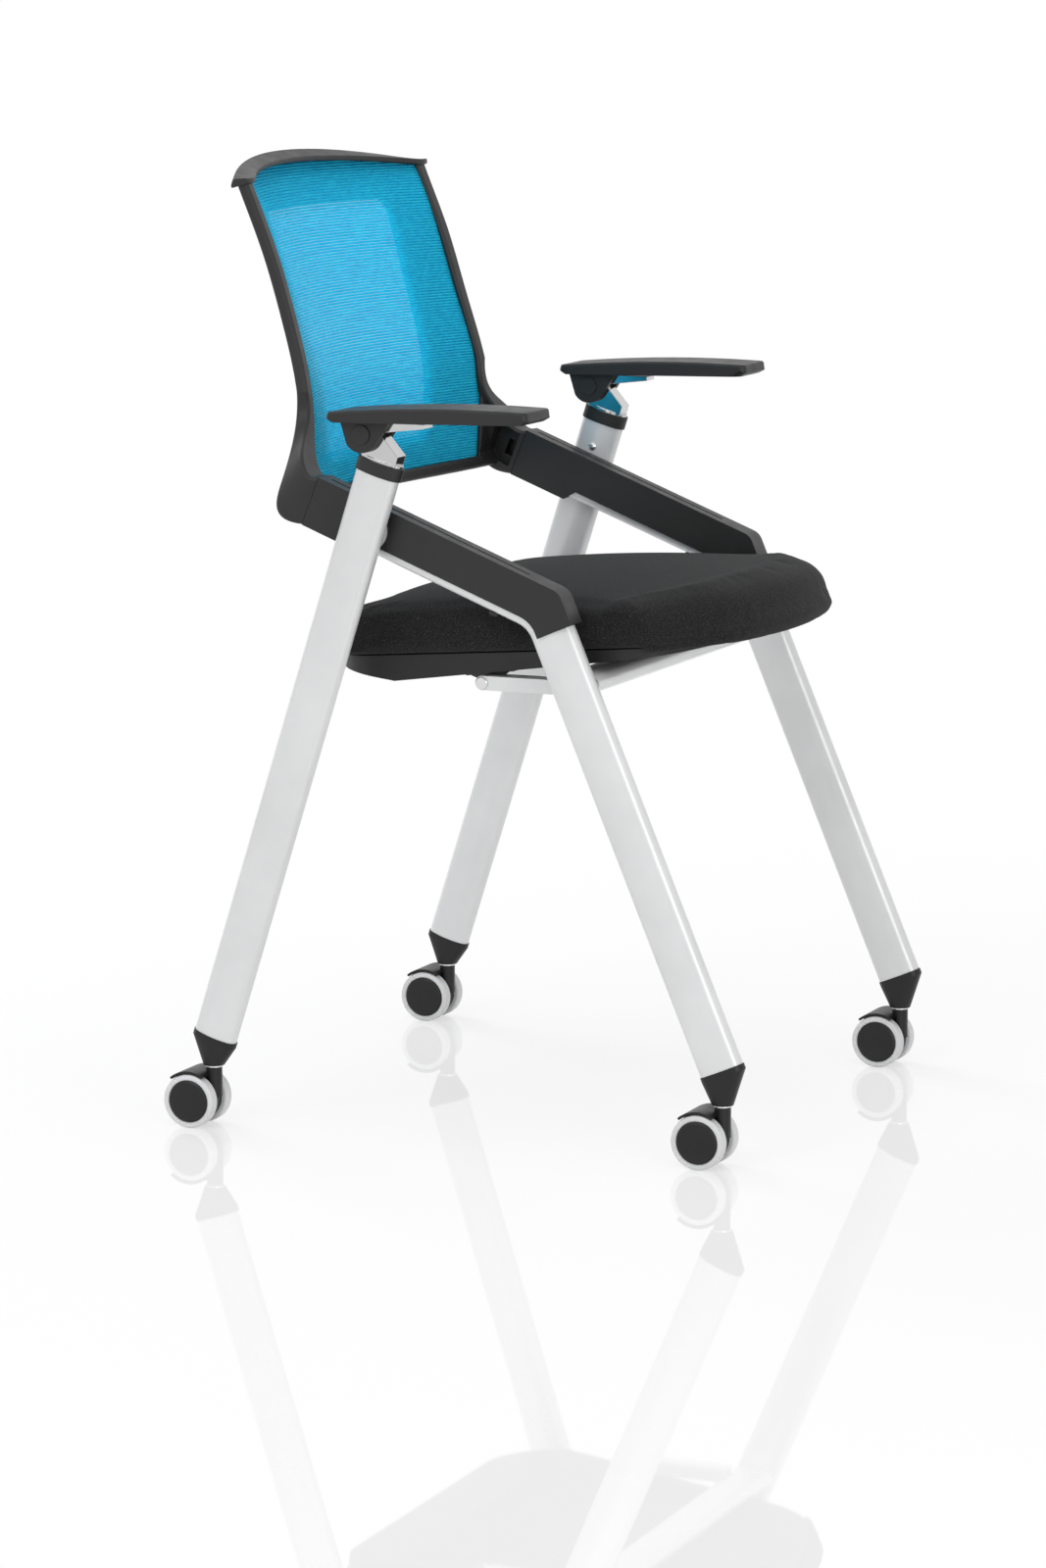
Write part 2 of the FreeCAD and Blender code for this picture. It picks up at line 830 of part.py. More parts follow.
def seat_place(body, x=0, y=0, z=0):
    """Seat pieces are drawn about the hinge, with Y back along the pan floor."""
    put(body, x, pivot_y, pivot_z, (-1, 0, 0), given("seat_pitch"))


# how the rim of the pan rises towards the back
rim_slope = 0.0608


def cushion_floor(back):
    """Height of the joint between pan and cushion, at a distance behind the hinge."""
    return given("pan_rim_height") + back * rim_slope


bracket_x = bar_x - given("seat_bar_width") / 2 - given("slide_gap")
seat_half = given("seat_width") / 2
seat_back = given("seat_back_reach")
seat_front = given("seat_front_reach")


def seat_pan(name):
    body = new_body(name)
    inset = given("pan_inset")
    floor = given("pan_floor")
    half = seat_half - inset
    back = seat_back - inset
    ahead = seat_front - given("pan_front_inset")
    bow = given("pan_front_bow")
    bow_radius = (half * half + bow * bow) / (bow * 2)
    plan = new_sketch(body, "XY_Plane", (0, 0, floor))
    draw(plan, [(-half, bow - ahead, bow_radius, -1), (half, bow - ahead), (half, back), (-half, back)])
    tall = given("pan_rim_height") * 2
    pad(body, plan, tall)
    rear_corner, front_corner = given("pan_rear_corner"), given("pan_front_corner")
    round_edges(body, rear_corner, lambda e: along(e, (0, 0, 1)) and e.CenterOfMass.y > 0)
    round_edges(body, front_corner, lambda e: along(e, (0, 0, 1)) and e.CenterOfMass.y < 0)
    above = new_sketch(body, "YZ_Plane")
    far_back = back + rear_corner
    far_ahead = ahead + front_corner
    draw(above, [
        (far_back, cushion_floor(far_back)),
        (far_back, floor + tall * 2),
        (-far_ahead, floor + tall * 2),
        (-far_ahead, cushion_floor(-far_ahead)),
    ])
    pocket(body, above, given("seat_width") * 1.2, middle=True)
    heel = new_sketch(body, "YZ_Plane")
    heel_start = back - given("pan_heel_reach")
    heel_slope = given("pan_heel_rise") / given("pan_heel_reach")
    draw(heel, [
        (heel_start, floor - 1),
        (far_back, floor - 1),
        (far_back, floor + (far_back - heel_start) * heel_slope),
        (heel_start, floor),
    ])
    pocket(body, heel, given("seat_width") * 1.2, middle=True)
    doc.recompute()
    base = body.Tip
    faces = base.Shape.Faces
    lid = max(range(len(faces)), key=lambda n: faces[n].CenterOfMass.z + faces[n].Area / 1e4)
    hollow = body.newObject("PartDesign::Thickness", name + "_shell")
    hollow.Base = (base, ["Face%d" % (lid + 1)])
    bind(hollow, "Value", given("pan_wall"))
    hollow.Join = 1
    hollow.Reversed = True
    holes = new_sketch(body, "XY_Plane", (0, 0, floor))
    for side in (-1, 1):
        for back in (-14, 14):
            draw_circle(holes, side * (bracket_x - 22), size(back), size(2.4))
    pocket(body, holes, given("pan_wall") * 3, middle=True)
    seat_place(body)
    return body


def plan_shrink(share):
    """How far front and back edges draw in towards the sides of the seat."""
    corner = max(share - 0.62, 0) / 0.38
    front = 34 * min(share / 0.8, 1) ** 2 + 32 * corner ** 2
    back = 30 * corner ** 2
    return front, back


def cushion_section(x, share, side_drop, side_lift):
    """One side-on outline of the cushion, as a closed wire at a distance from its middle."""
    front_in, back_in = plan_shrink(share)
    back = seat_back.value - back_in
    ahead = seat_front.value - front_in
    tall = given("cushion_height").value
    crown = given("cushion_crown").value * (1 - share ** 2)

    def floor(y):
        return value("pan_rim_height") + y * rim_slope + value("cushion_gap") + side_lift

    def at(y, z):
        return Vector(x, y, z)

    top_back = floor(back) + tall + crown * 0.4 - side_drop - 3 - side_lift
    top_mid = floor(-20) + tall + crown + 1.5 - side_drop - side_lift
    nose_y = -(ahead - 62)
    nose_z = floor(nose_y) + tall + crown * 0.5 - 5.5 - side_drop - side_lift
    tip_z = floor(-ahead) + tall * 0.28
    heel = at(back - 5, floor(back - 5))
    rear_mid = at(back, floor(back) + (tall - side_drop) * 0.42)
    rear_top = at(back - 15, top_back)
    middle = at((back - 15 + nose_y) / 2, top_mid)
    nose = at(nose_y, nose_z)
    brow = at(-(ahead - 14), nose_z - (nose_z - tip_z) * 0.42)
    tip = at(-ahead, tip_z)
    toe = at(-(ahead - 16), floor(-(ahead - 16)))
    edges = [
        Part.Arc(heel, rear_mid, rear_top).toShape(),
        Part.Arc(rear_top, middle, nose).toShape(),
        Part.Arc(nose, brow, tip).toShape(),
        Part.LineSegment(tip, toe).toShape(),
        Part.LineSegment(toe, heel).toShape(),
    ]
    return Part.Wire(edges)


def seat_cushion(name):
    """Boxed cushion: crowned top, drawn-in sides and a waterfall front."""
    half = seat_half.value
    stations = [
        (0.0, 0.0, 0.0),
        (0.34, 0.0, 0.0),
        (0.62, 0.4, 0.0),
        (0.82, 1.4, 0.0),
        (0.93, 3.2, 0.3),
        (0.98, 6.2, 1.6),
        (1.0, 11.0, 5.0),
    ]
    wires = []
    for share, drop, lift in reversed(stations[1:]):
        wires.append(cushion_section(-share * half, share, drop, lift))
    for share, drop, lift in stations:
        wires.append(cushion_section(share * half, share, drop, lift))
    piece = doc.addObject("Part::Feature", name)
    piece.Shape = Part.makeLoft(wires, True, False)
    piece.Label = name
    put(piece, 0, pivot_y, pivot_z, (-1, 0, 0), given("seat_pitch"))
    return piece


def seat_hinge_bracket(name):
    """Angle bracket under the pan: flange against the floor, ear on the hinge pin."""
    body = new_body(name)
    sheet_metal = 3.0
    floor = given("pan_floor")
    ear = new_sketch(body, "YZ_Plane")
    radius = given("seat_pin_diameter") / 2 + 4
    draw(ear, [
        (-24, floor - 0.05),
        (-radius, 0, radius, -1),
        (0, -radius, radius, -1),
        (radius, 0),
        (24, floor - 0.05),
    ])
    pad(body, ear, size(sheet_metal))
    flange = new_sketch(body, "YZ_Plane")
    draw(flange, [(-24, floor - 0.05), (-24, floor - 2.55), (24, floor - 2.55), (24, floor - 0.05)])
    pad(body, flange, size(34.0))
    bore_radius = given("seat_pin_diameter") / 2 + given("running_fit")
    bore = draw_circle(new_sketch(body, "YZ_Plane"), 0, 0, bore_radius)
    pocket(body, bore, size(40.0), back=True)
    holes = new_sketch(body, "XY_Plane")
    for back in (-14, 14):
        draw_circle(holes, size(22.0), size(back), size(2.6))
    pocket(body, holes, size(40.0), middle=True)
    seat_place(body, -bracket_x)
    return body


def seat_bracket_screw(name, back):
    """Pan-head screw through a bracket hole, up into the pan floor."""
    body = new_body(name)
    floor = given("pan_floor")
    profile = new_sketch(body, "XZ_Plane")
    draw(profile, [
        (0, floor - 5.0),
        (3.0, floor - 5.0),
        (4.2, floor - 4.2),
        (4.2, floor - 2.6),
        (2.4, floor - 2.6),
        (2.4, floor + 2.2),
        (0, floor + 2.2),
    ])
    revolve(body, profile, "V_Axis")
    pitch = given("seat_pitch")
    place_y = pivot_y + size(back) * cosine(pitch)
    place_z = pivot_z - size(back) * sine(pitch)
    put(body, 22 - bracket_x, place_y, place_z, (-1, 0, 0), pitch)
    return body


def seat_hinge_pin(name):
    """Headed pin, fixed in the bar, that carries the bracket ear."""
    body = new_body(name)
    rod = given("seat_pin_diameter") / 2
    head = rod + 2.4
    width = given("seat_bar_width") / 2
    inner = width + given("slide_gap") + 3.0 + 0.4
    profile = new_sketch(body, "XY_Plane")
    draw(profile, [
        (-width - 2.4, 0),
        (-width - 2.4, head - 0.8),
        (-width - 1.6, head),
        (-width - 0.05, head),
        (-width - 0.05, rod),
        (inner, rod),
        (inner, head),
        (inner + 1.6, head),
        (inner + 2.4, head - 0.8),
        (inner + 2.4, 0),
    ])
    revolve(body, profile, "H_Axis")
    put(body, -bar_x, pivot_y, pivot_z)
    return body


# Arms

arm_pivot = (top_end[0] + given("arm_hinge_back") - 7.3, top_end[1] + given("arm_hinge_rise") - 2.4)


def arm_collar(name):
    body = new_body(name)
    ring = new_sketch(body, "XY_Plane")
    wall = given("collar_wall")
    draw_oval(ring, half_thick + wall, half_width + wall, given("tube_end_radius") + wall)
    inner = given("tube_wall") + 0.1
    draw_oval(ring, half_thick - inner, half_width - inner, given("tube_end_radius") - inner)
    pad(body, ring, given("collar_height"))
    put(body, -rear_x, top_end[0], top_end[1], (1, 0, 0), rear_lean)
    return body


def arm_bracket(name):
    """Bright casting on the leg top: plug, shoulder, hinge knuckle and tongue."""
    body = new_body(name)
    wall = given("tube_wall") + 0.15
    pivot_y_here = arm_pivot[0] - top_end[0]
    pivot_z_here = arm_pivot[1] - top_end[1]
    plug_foot = (0, 30 * sine(rear_lean), -30 * cosine(rear_lean))
    plug = new_sketch(body, "XY_Plane", plug_foot, ((1, 0, 0), rear_lean))
    draw_oval(plug, half_thick - wall, half_width - wall, given("tube_end_radius") - wall)
    pad(body, plug, 30 + given("collar_height"))
    rise_y = -sine(rear_lean)
    rise_z = cosine(rear_lean)
    collar = given("collar_height")
    shoulder = new_sketch(body, "XY_Plane", (0, rise_y * collar, rise_z * collar), ((1, 0, 0), rear_lean))
    draw_oval(shoulder, half_thick - 0.3, half_width - 0.3, given("tube_end_radius") - 0.3)
    pad(body, shoulder, given("arm_shoulder_height"))
    neck = new_sketch(body, "YZ_Plane")
    low = collar + given("arm_shoulder_height") - 2

    def above(lift, ahead):
        return (
            rise_y * lift - cosine(rear_lean) * ahead,
            rise_z * lift - sine(rear_lean) * ahead,
        )

    knuckle = given("arm_knuckle_radius")
    tip = pivot_y_here - given("arm_tongue_reach")
    draw(neck, [
        above(low, -half_width + 5),
        (pivot_y_here + knuckle, pivot_z_here),
        (pivot_y_here, pivot_z_here + knuckle),
        (tip, pivot_z_here + knuckle - 0.5),
        (tip, pivot_z_here + knuckle - 4.6),
        (pivot_y_here - knuckle - 4, pivot_z_here + 1.5),
        above(low + 10.5, half_width - 4),
        above(low, half_width - 4),
    ])
    pad(body, neck, given("arm_head_width"), middle=True)
    drum = draw_circle(new_sketch(body, "YZ_Plane"), pivot_y_here, pivot_z_here, knuckle)
    pad(body, drum, given("arm_head_width"), middle=True)
    bore = draw_circle(new_sketch(body, "YZ_Plane"), pivot_y_here, pivot_z_here, given("arm_pin_diameter") / 2)
    pocket(body, bore, given("arm_head_width") * 2, middle=True)
    thread = new_sketch(body, "YZ_Plane")
    draw_circle(thread, 24 * sine(rear_lean), -24 * cosine(rear_lean), size(2.0))
    pocket(body, thread, given("tube_thickness") * 2, middle=True)
    put(body, -rear_x, top_end[0], top_end[1])
    return body


arm_half = given("arm_head_width") / 2
ear_in = arm_half + given("slide_gap")
ear_out = ear_in + given("arm_ear_thickness")


def arm_hinge_pin(name):
    body = new_body(name)
    rod = draw_circle(new_sketch(body, "YZ_Plane"), 0, 0, given("arm_pin_diameter") / 2)
    pad(body, rod, ear_out * 2 - 1.4, middle=True)
    put(body, -rear_x, arm_pivot[0], arm_pivot[1])
    return body


def arm_pad(name):
    """Arm pad with an arched top and two hinge ears below."""
    body = new_body(name)
    rear = given("arm_pad_rear")
    ahead = given("arm_pad_length") - rear
    thick = given("arm_pad_thickness")
    low = given("arm_knuckle_radius") + given("slide_gap")
    high = low + thick
    outset = given("arm_pad_outset")
    side = new_sketch(body, "YZ_Plane", (0, 0, -outset))
    top_radius = given("arm_pad_length") * 7.2
    draw(side, [
        (rear - 8, low),
        (rear, low + 4.2),
        (rear - 1.2, high - 2.0, top_radius, -1),
        (-ahead + 1.2, high + 4.0),
        (-ahead, low + 6.8),
        (-ahead + 6, low + 3.6),
        (-ahead * 0.3, low + 1.2),
    ])
    pad(body, side, given("arm_pad_width"), middle=True)
    short = thick.value + 2

    def upright(edge):
        return not along(edge, (1, 0, 0)) and edge.Length < short and edge.CenterOfMass.z > low.value + 5

    round_edges(body, size(6.0), upright)
    rim = top_face_edges(body)
    round_edges(body, size(2.2), lambda e: any(e.isSame(other) for other in rim))
    ears = new_sketch(body, "YZ_Plane")
    radius = given("arm_ear_radius")
    draw(ears, [
        (-radius * 1.75, low + 2.2),
        (-radius * 0.86, -radius * 0.5103, radius, -1),
        (radius * 0.86, -radius * 0.5103),
        (radius * 1.25, low + 1.0),
    ])
    pad(body, ears, ear_out * 2, middle=True)
    slot = new_sketch(body, "YZ_Plane")
    draw(slot, [
        (-radius * 2, -radius * 2),
        (radius * 2, -radius * 2),
        (radius * 2, low),
        (-radius * 2, low),
    ])
    pocket(body, slot, ear_in * 2, middle=True)
    bore = draw_circle(new_sketch(body, "YZ_Plane"), 0, 0, given("arm_pin_diameter") / 2 + given("running_fit"))
    pocket(body, bore, ear_out * 4, middle=True)
    put(body, -rear_x, arm_pivot[0], arm_pivot[1])
    return body


def arm_pivot_cap(name, outward):
    """Thin round cap over one end of the arm hinge."""
    body = new_body(name)
    disc = draw_circle(new_sketch(body, "YZ_Plane"), 0, 0, given("pivot_cap_diameter") / 2)
    pad(body, disc, size(1.2), back=outward < 0)
    put(body, outward * (ear_out + 0.02) - rear_x, arm_pivot[0], arm_pivot[1])
    return body


def bracket_screw(name):
    """Button screw on the inner face of the rear leg, into the arm bracket."""
    body = new_body(name)
    profile = new_sketch(body, "XY_Plane")
    face = half_thick + 0.02
    draw(profile, [
        (size(1.0), 0),
        (size(1.0), size(2.0)),
        (face, size(2.0)),
        (face, size(4.2)),
        (face + 1.0, size(3.9)),
        (face + 2.2, size(2.0)),
        (face + 2.4, 0),
    ])
    revolve(body, profile, "H_Axis")
    put(body, -rear_x, top_end[0] + 24 * sine(rear_lean), top_end[1] - 24 * cosine(rear_lean))
    return body


# Back

# rounding of the posts, and where the rails of the back lie against its edges
post_rounding = 3.2
rail_lip = 4.6
rail_drop = 3.3
rail_dip = 9.0
bottom_level = -0.03
mesh_set_back = 3.1
post_foot = 0.33
post_top = 0.995


def value(alias):
    return given(alias).value


def smooth_between(points, place):
    """Height at a place of the smooth curve through points that run from left to right."""
    slopes = []
    for before, after in zip(points[:1] + points, points[1:] + points[-1:]):
        slopes.append((after[1] - before[1]) / (after[0] - before[0]))
    number = 0
    while number < len(points) - 2 and place > points[number + 1][0]:
        number += 1
    (left, low), (right, high) = points[number], points[number + 1]
    span = right - left
    part = (place - left) / span
    ease = part * part * (3 - 2 * part)
    swing_in = part * (1 - part) ** 2 * slopes[number] * span
    swing_out = part * part * (part - 1) * slopes[number + 1] * span
    return low + (high - low) * ease + swing_in + swing_out


def back_edge(level):
    """Half width and front face of the mesh edge, at a share of the back's rise."""
    shape = [
        (-0.12, 1.0, 0.34),
        (0.0, 0.96, 0.31),
        (0.13, 0.86, 0.282),
        (0.33, 0.42, 0.30),
        (0.53, 0.06, 0.47),
        (0.755, 0.0, 0.69),
        (1.0, 0.0, 1.0),
        (1.12, 0.0, 1.155),
    ]
    flare = smooth_between([(place, flare) for place, flare, lean in shape], level)
    lean = smooth_between([(place, lean) for place, flare, lean in shape], level)
    half = front_x.value - value("back_inset") + value("back_flare") * flare
    return half, rail_end[0].value + value("back_lean") * lean


def back_z(level):
    return rail_end[1].value + value("back_rise") * level


def back_bow(level):
    bottom, top = value("back_bow_bottom"), value("back_bow_top")
    return bottom + (top - bottom) * min(max(level, 0), 1.05)


def rounded_wire(points, radius):
    """Closed wire through four points with rounded corners."""
    edges = []
    count = len(points)
    cuts = []
    for number in range(count):
        before, here, after = points[number - 1], points[number], points[(number + 1) % count]
        way_in = (before - here).normalize()
        way_out = (after - here).normalize()
        half = way_in.getAngle(way_out) / 2
        reach = radius / math.tan(half)
        bisector = (way_in + way_out).normalize()
        middle = here + bisector * (radius / math.sin(half) - radius)
        cuts.append((here + way_in * reach, middle, here + way_out * reach))
    for number in range(count):
        first, middle, last = cuts[number]
        edges.append(Part.Arc(first, middle, last).toShape())
        edges.append(Part.LineSegment(last, cuts[(number + 1) % count][0]).toShape())
    return Part.Wire(edges)


def smooth_loft(wires):
    """Solid through closed wires, on cubic curves so that it doesn't overshoot between them."""
    return Part.makeLoft(wires, True, False, False, 3)


def post_wire(level, inner, width, front, depth, radius):
    """Section of a post at a share of the back's rise, a little deeper towards the outside."""
    half, face = back_edge(level)
    height = back_z(level)
    x_in = half + inner
    x_out = x_in + width
    corners = [
        Vector(x_in, face + front, height),
        Vector(x_out, face + front - 1.4, height),
        Vector(x_out, face + front + depth - 1.4, height),
        Vector(x_in, face + front + depth, height),
    ]
    return rounded_wire(corners, radius)


def back_post():
    """Lug and post of the back frame, on the left: from the rail end to the post, then up to the top."""
    over = half_width.value + value("cover_top")
    under = half_width.value + value("cover_skirt")
    end_y, end_z = rail_end[0].value, rail_end[1].value
    up_y, up_z = rail_up[0].value, rail_up[1].value
    cover_in = front_x.value - value("cover_width") / 2
    cover_out = front_x.value + value("cover_width") / 2
    depth = value("back_post_depth")
    width = value("back_post_width")
    rear = back_edge(0.1)[1] + depth - 2.5
    seam = 0.3
    gap_y, gap_z = rail_along[0].value * seam, rail_along[1].value * seam
    bend_level = 0.22
    bend_half, bend_face = back_edge(bend_level)
    bend_z = back_z(bend_level)
    lines = [
        ((end_y + up_y * over + gap_y, end_z + up_z * over + gap_z),
         (end_y - up_y * under + gap_y, end_z - up_z * under + gap_z), cover_in, cover_out),
        ((end_y + 4.5, end_z + 27), (rear, end_z - 8), cover_in - 6, cover_out - 1),
        ((end_y + 13, end_z + 41), (rear, end_z + 15), cover_in - 16, cover_out - 11),
        ((bend_face - 3.5, bend_z + 1), (bend_face + depth - 1, bend_z - 4), bend_half, bend_half + width + 3),
    ]
    wires = []
    for inner, outer, x_in, x_out in lines:
        corners = [
            Vector(x_in, inner[0], inner[1]),
            Vector(x_out, inner[0], inner[1]),
            Vector(x_out, outer[0], outer[1]),
            Vector(x_in, outer[0], outer[1]),
        ]
        wires.append(rounded_wire(corners, post_rounding))
    steps = 5
    rungs = []
    for step in range(steps + 1):
        level = post_foot + (post_top - post_foot) * step / steps
        rungs.append(post_wire(level, 0, width, -1.0, depth, post_rounding))
    return smooth_loft(wires + rungs[:1]), smooth_loft(rungs)


def edge_rib():
    """Rib that holds the mesh edge between the post and the bottom rail, on the left."""
    wires = []
    depth = value("back_post_depth") - 1.8
    for level, inner, width in ((-0.02, -0.8, 16), (0.05, -0.8, 16), (0.13, -0.5, 15), (0.24, 2.0, 10)):
        wires.append(post_wire(level, inner, width, 0.2, depth, 2.2))
    return smooth_loft(wires)


def back_top_rail():
    """Bowed top rail, a hooked lip over the posts at its ends."""
    wires = []
    half, face = back_edge(1.0)
    base = back_z(1.0)
    reach = half + value("back_post_width") + 2
    for share in (-1.0, -0.9, -0.7, -0.35, 0.0, 0.35, 0.7, 0.9, 1.0):
        x = share * reach
        inside = max(0, 1 - (x / half) ** 2)
        arch = 1 - share ** 2
        front_y = face - rail_lip + value("back_bow_top") * inside
        low_z = base - rail_drop + rail_dip * inside
        top_y = face + 13 + 46 * arch
        top_z = base + 0.5 + value("back_top_arch") * arch
        corners = [
            Vector(x, front_y, low_z),
            Vector(x, front_y, low_z + 5),
            Vector(x, top_y - 4, top_z),
            Vector(x, top_y, top_z - 9),
        ]
        wires.append(rounded_wire(corners, 1.6))
    return smooth_loft(wires)


def back_bottom_rail():
    """Slim bottom rail, rising a little where it runs into the lugs."""
    wires = []
    half, face = back_edge(bottom_level)
    reach = half + 33
    for share in (-1.0, -0.85, -0.5, 0.0, 0.5, 0.85, 1.0):
        x = share * reach
        front = face + value("back_bow_bottom") * (1 - (x / half) ** 2) - 1
        low = back_z(bottom_level) - 7 + 4 * share ** 4
        corners = [
            Vector(x, front, low),
            Vector(x, front, low + 12),
            Vector(x, front + 10, low + 12),
            Vector(x, front + 10, low),
        ]
        wires.append(rounded_wire(corners, 3.0))
    return smooth_loft(wires)


def mesh_slab(front, thickness, wider):
    """Curved sheet across the back, thick enough to cut with or to keep as the mesh."""
    wires = []
    for level in (-0.12, 0.0, 0.13, 0.33, 0.53, 0.755, 1.0, 1.12):
        half, face = back_edge(level)
        bow = back_bow(level)
        reach = half + wider
        height = back_z(level)

        def at(share, depth):
            x = share * reach
            return Vector(x, face + bow * (1 - (x / half) ** 2) + front + depth, height)

        edges = [
            Part.Arc(at(-1, 0), at(0, 0), at(1, 0)).toShape(),
            Part.LineSegment(at(1, 0), at(1, thickness)).toShape(),
            Part.Arc(at(1, thickness), at(0, thickness), at(-1, thickness)).toShape(),
            Part.LineSegment(at(-1, thickness), at(-1, 0)).toShape(),
        ]
        wires.append(Part.Wire(edges))
    return Part.makeLoft(wires, True, False)


def mesh_outline(margin):
    """Prism through the window of the back frame, grown by a margin at top and bottom."""
    half, _ = back_edge(1.0)
    wide = half + value("back_flare") + 40
    low = back_z(bottom_level) + 3 - margin
    middle = back_z(1.0) - rail_drop + rail_dip + margin
    side = middle - rail_dip * (wide / half) ** 2
    far = value("back_rise") * 2
    left, right = Vector(-wide, -far, side), Vector(wide, -far, side)
    edges = [
        Part.LineSegment(Vector(-wide, -far, low), Vector(wide, -far, low)).toShape(),
        Part.LineSegment(Vector(wide, -far, low), right).toShape(),
        Part.Arc(right, Vector(0, -far, middle), left).toShape(),
        Part.LineSegment(left, Vector(-wide, -far, low)).toShape(),
    ]
    return Part.Face(Part.Wire(edges)).extrude(Vector(0, far * 2, 0))


def back_frame(name):
    """Moulded back frame: posts with forward lugs, edge ribs, top and bottom rail, mesh groove."""
    left = [*back_post(), edge_rib()]
    right = [shape.mirror(Vector(0, 0, 0), Vector(1, 0, 0)) for shape in left]
    frame = left[0].fuse(left[1:] + right + [back_top_rail(), back_bottom_rail()])
    edge = value("mesh_edge")
    groove = mesh_slab(mesh_set_back, value("mesh_thickness") + 0.1, edge + 0.1)
    groove = groove.common(mesh_outline(edge + 0.1))
    frame = frame.cut(groove)
    for side in (-1, 1):
        frame = frame.cut(lug_recess(side)).cut(lug_screw_well(side)).cut(lug_screw_hole(side))
    piece = doc.addObject("Part::Feature", name)
    piece.Shape = frame.removeSplitter()
    piece.Label = name
    return piece


def lug_pocket(side, outline, depth):
    """Hollow on the inner face of a lug, from points along and above the middle line of the rail."""
    end_y, end_z = rail_end[0].value, rail_end[1].value
    along_y, along_z = rail_along[0].value, rail_along[1].value
    up_y, up_z = rail_up[0].value, rail_up[1].value

    def at(reach, lift):
        return Vector(0, end_y + along_y * reach + up_y * lift, end_z + along_z * reach + up_z * lift)

    points = [at(reach, lift) for reach, lift in outline]
    face = Part.Face(Part.makePolygon(points + points[:1]))
    inner = front_x.value - value("cover_width") / 2
    hollow = face.extrude(Vector(side * (lug_clear + depth), 0, 0))
    hollow.translate(Vector(side * (inner - lug_clear), 0, 0))
    return hollow


def lug_recess(side):
    """Wide shallow recess that lightens the lug."""
    return lug_pocket(side, [(5, -17), (22, -15), (28, -8), (28, 21), (20, 21), (5, 18)], 7)


def lug_screw_well(side):
    """Deeper well around the screw head."""
    return lug_pocket(side, [(5, -8), (16, -8), (16, 8), (5, 8)], value("cover_width") / 2 + 5)


screw_radius = 2.0
lug_clear = 30.0


def rail_line(side, start, length, radius):
    """Rod along the middle line of a rail, from a distance past its end."""
    base = Vector(
        side * front_x.value,
        rail_end[0].value + rail_along[0].value * start,
        rail_end[1].value + rail_along[1].value * start,
    )
    return Part.makeCylinder(radius, length, base, Vector(0, rail_along[0].value, rail_along[1].value))


def lug_screw_hole(side):
    return rail_line(side, -1, 8, screw_radius)


def back_frame_screws(name):
    """Screws in the lug pockets, along the rails into the rail end inserts."""
    solids = []
    for side in (-1, 1):
        shank = rail_line(side, -13, 18.02, screw_radius)
        head = rail_line(side, 5.02, 2.2, 3.8)
        solids.append(shank.fuse(head).removeSplitter())
    piece = doc.addObject("Part::Feature", name)
    piece.Shape = Part.makeCompound(solids)
    piece.Label = name
    return piece


def rail_end_insert(name):
    """Plug in the rear end of a rail, bored for the back screw."""
    body = new_body(name)
    wall = given("tube_wall") + 0.05
    depth = 22.0
    place = (0, rail_end[0] - depth * rail_along[0], rail_end[1] - depth * rail_along[1])
    plug = new_sketch(body, "XY_Plane", place, ((-1, 0, 0), 90 - rise))
    draw_oval(plug, half_thick - wall, half_width - wall, given("tube_end_radius") - wall)
    pad(body, plug, size(depth))
    bore = new_sketch(body, "XY_Plane", place, ((-1, 0, 0), 90 - rise))
    draw_circle(bore, 0, 0, size(screw_radius))
    pocket(body, bore, size(depth + 1), back=True)
    put(body, -front_x)
    return body


def back_mesh(name):
    edge = value("mesh_edge")
    piece = doc.addObject("Part::Feature", name)
    sheet_body = mesh_slab(mesh_set_back + 0.05, value("mesh_thickness"), edge)
    piece.Shape = sheet_body.common(mesh_outline(edge))
    piece.Label = name
    return piece


# Build every piece

pieces = []
pieces += pair("front_frame_tube", front_frame_tube)
pieces += pair("rear_leg", rear_leg)
pieces.append(both_sides("leg_bosses", leg_boss))
pieces.append(seat_cross_beam("seat_cross_beam"))
pieces += pair("seat_bar", seat_bar)
pieces.append(both_sides("seat_rests", seat_rest))
pieces += pair("rail_cover", rail_cover)
pieces.append(both_sides("rail_stops", rail_stop))

stems = []
for end_name, side_name, x, y, end, lean, axis in (
    ("front", "right", -front_x, front_y, front_end, front_lean, (-1, 0, 0)),
    ("front", "left", front_x, front_y, front_end, front_lean, (-1, 0, 0)),
    ("rear", "right", -rear_x, rear_y, rear_end, rear_lean, (1, 0, 0)),
    ("rear", "left", rear_x, rear_y, rear_end, rear_lean, (1, 0, 0)),
):
    place = end_name + "_" + side_name
    pieces.append(leg_cap(place + "_leg_cap", x, y, end, lean, axis))
    stems.append(castor_stem(place + "_stem", x, y))
    pieces.append(castor_fork(place + "_castor_fork", x, y))
    pieces.append(castor_axle(place + "_castor_axle", x, y))
    outward = -1 if side_name == "right" else 1
    for wheel, way in (("outer", outward), ("inner", -outward)):
        pieces.append(wheel_hub(place + "_" + wheel + "_hub", x, y, way))
        pieces.append(wheel_tread(place + "_" + wheel + "_tread", x, y, way))
pieces.append(joined("castor_stems", stems))

pieces.append(seat_pan("seat_pan"))
pieces.append(seat_cushion("seat_cushion"))
pieces += pair("seat_hinge_bracket", seat_hinge_bracket)
screws = []
for number, back in enumerate((-14, 14)):
    screw = seat_bracket_screw("seat_screw_right_%d" % number, back)
    screws += [screw, mirrored(screw, "seat_screw_left_%d" % number)]
pieces.append(joined("seat_bracket_screws", screws))
pieces.append(both_sides("seat_hinge_pins", seat_hinge_pin))

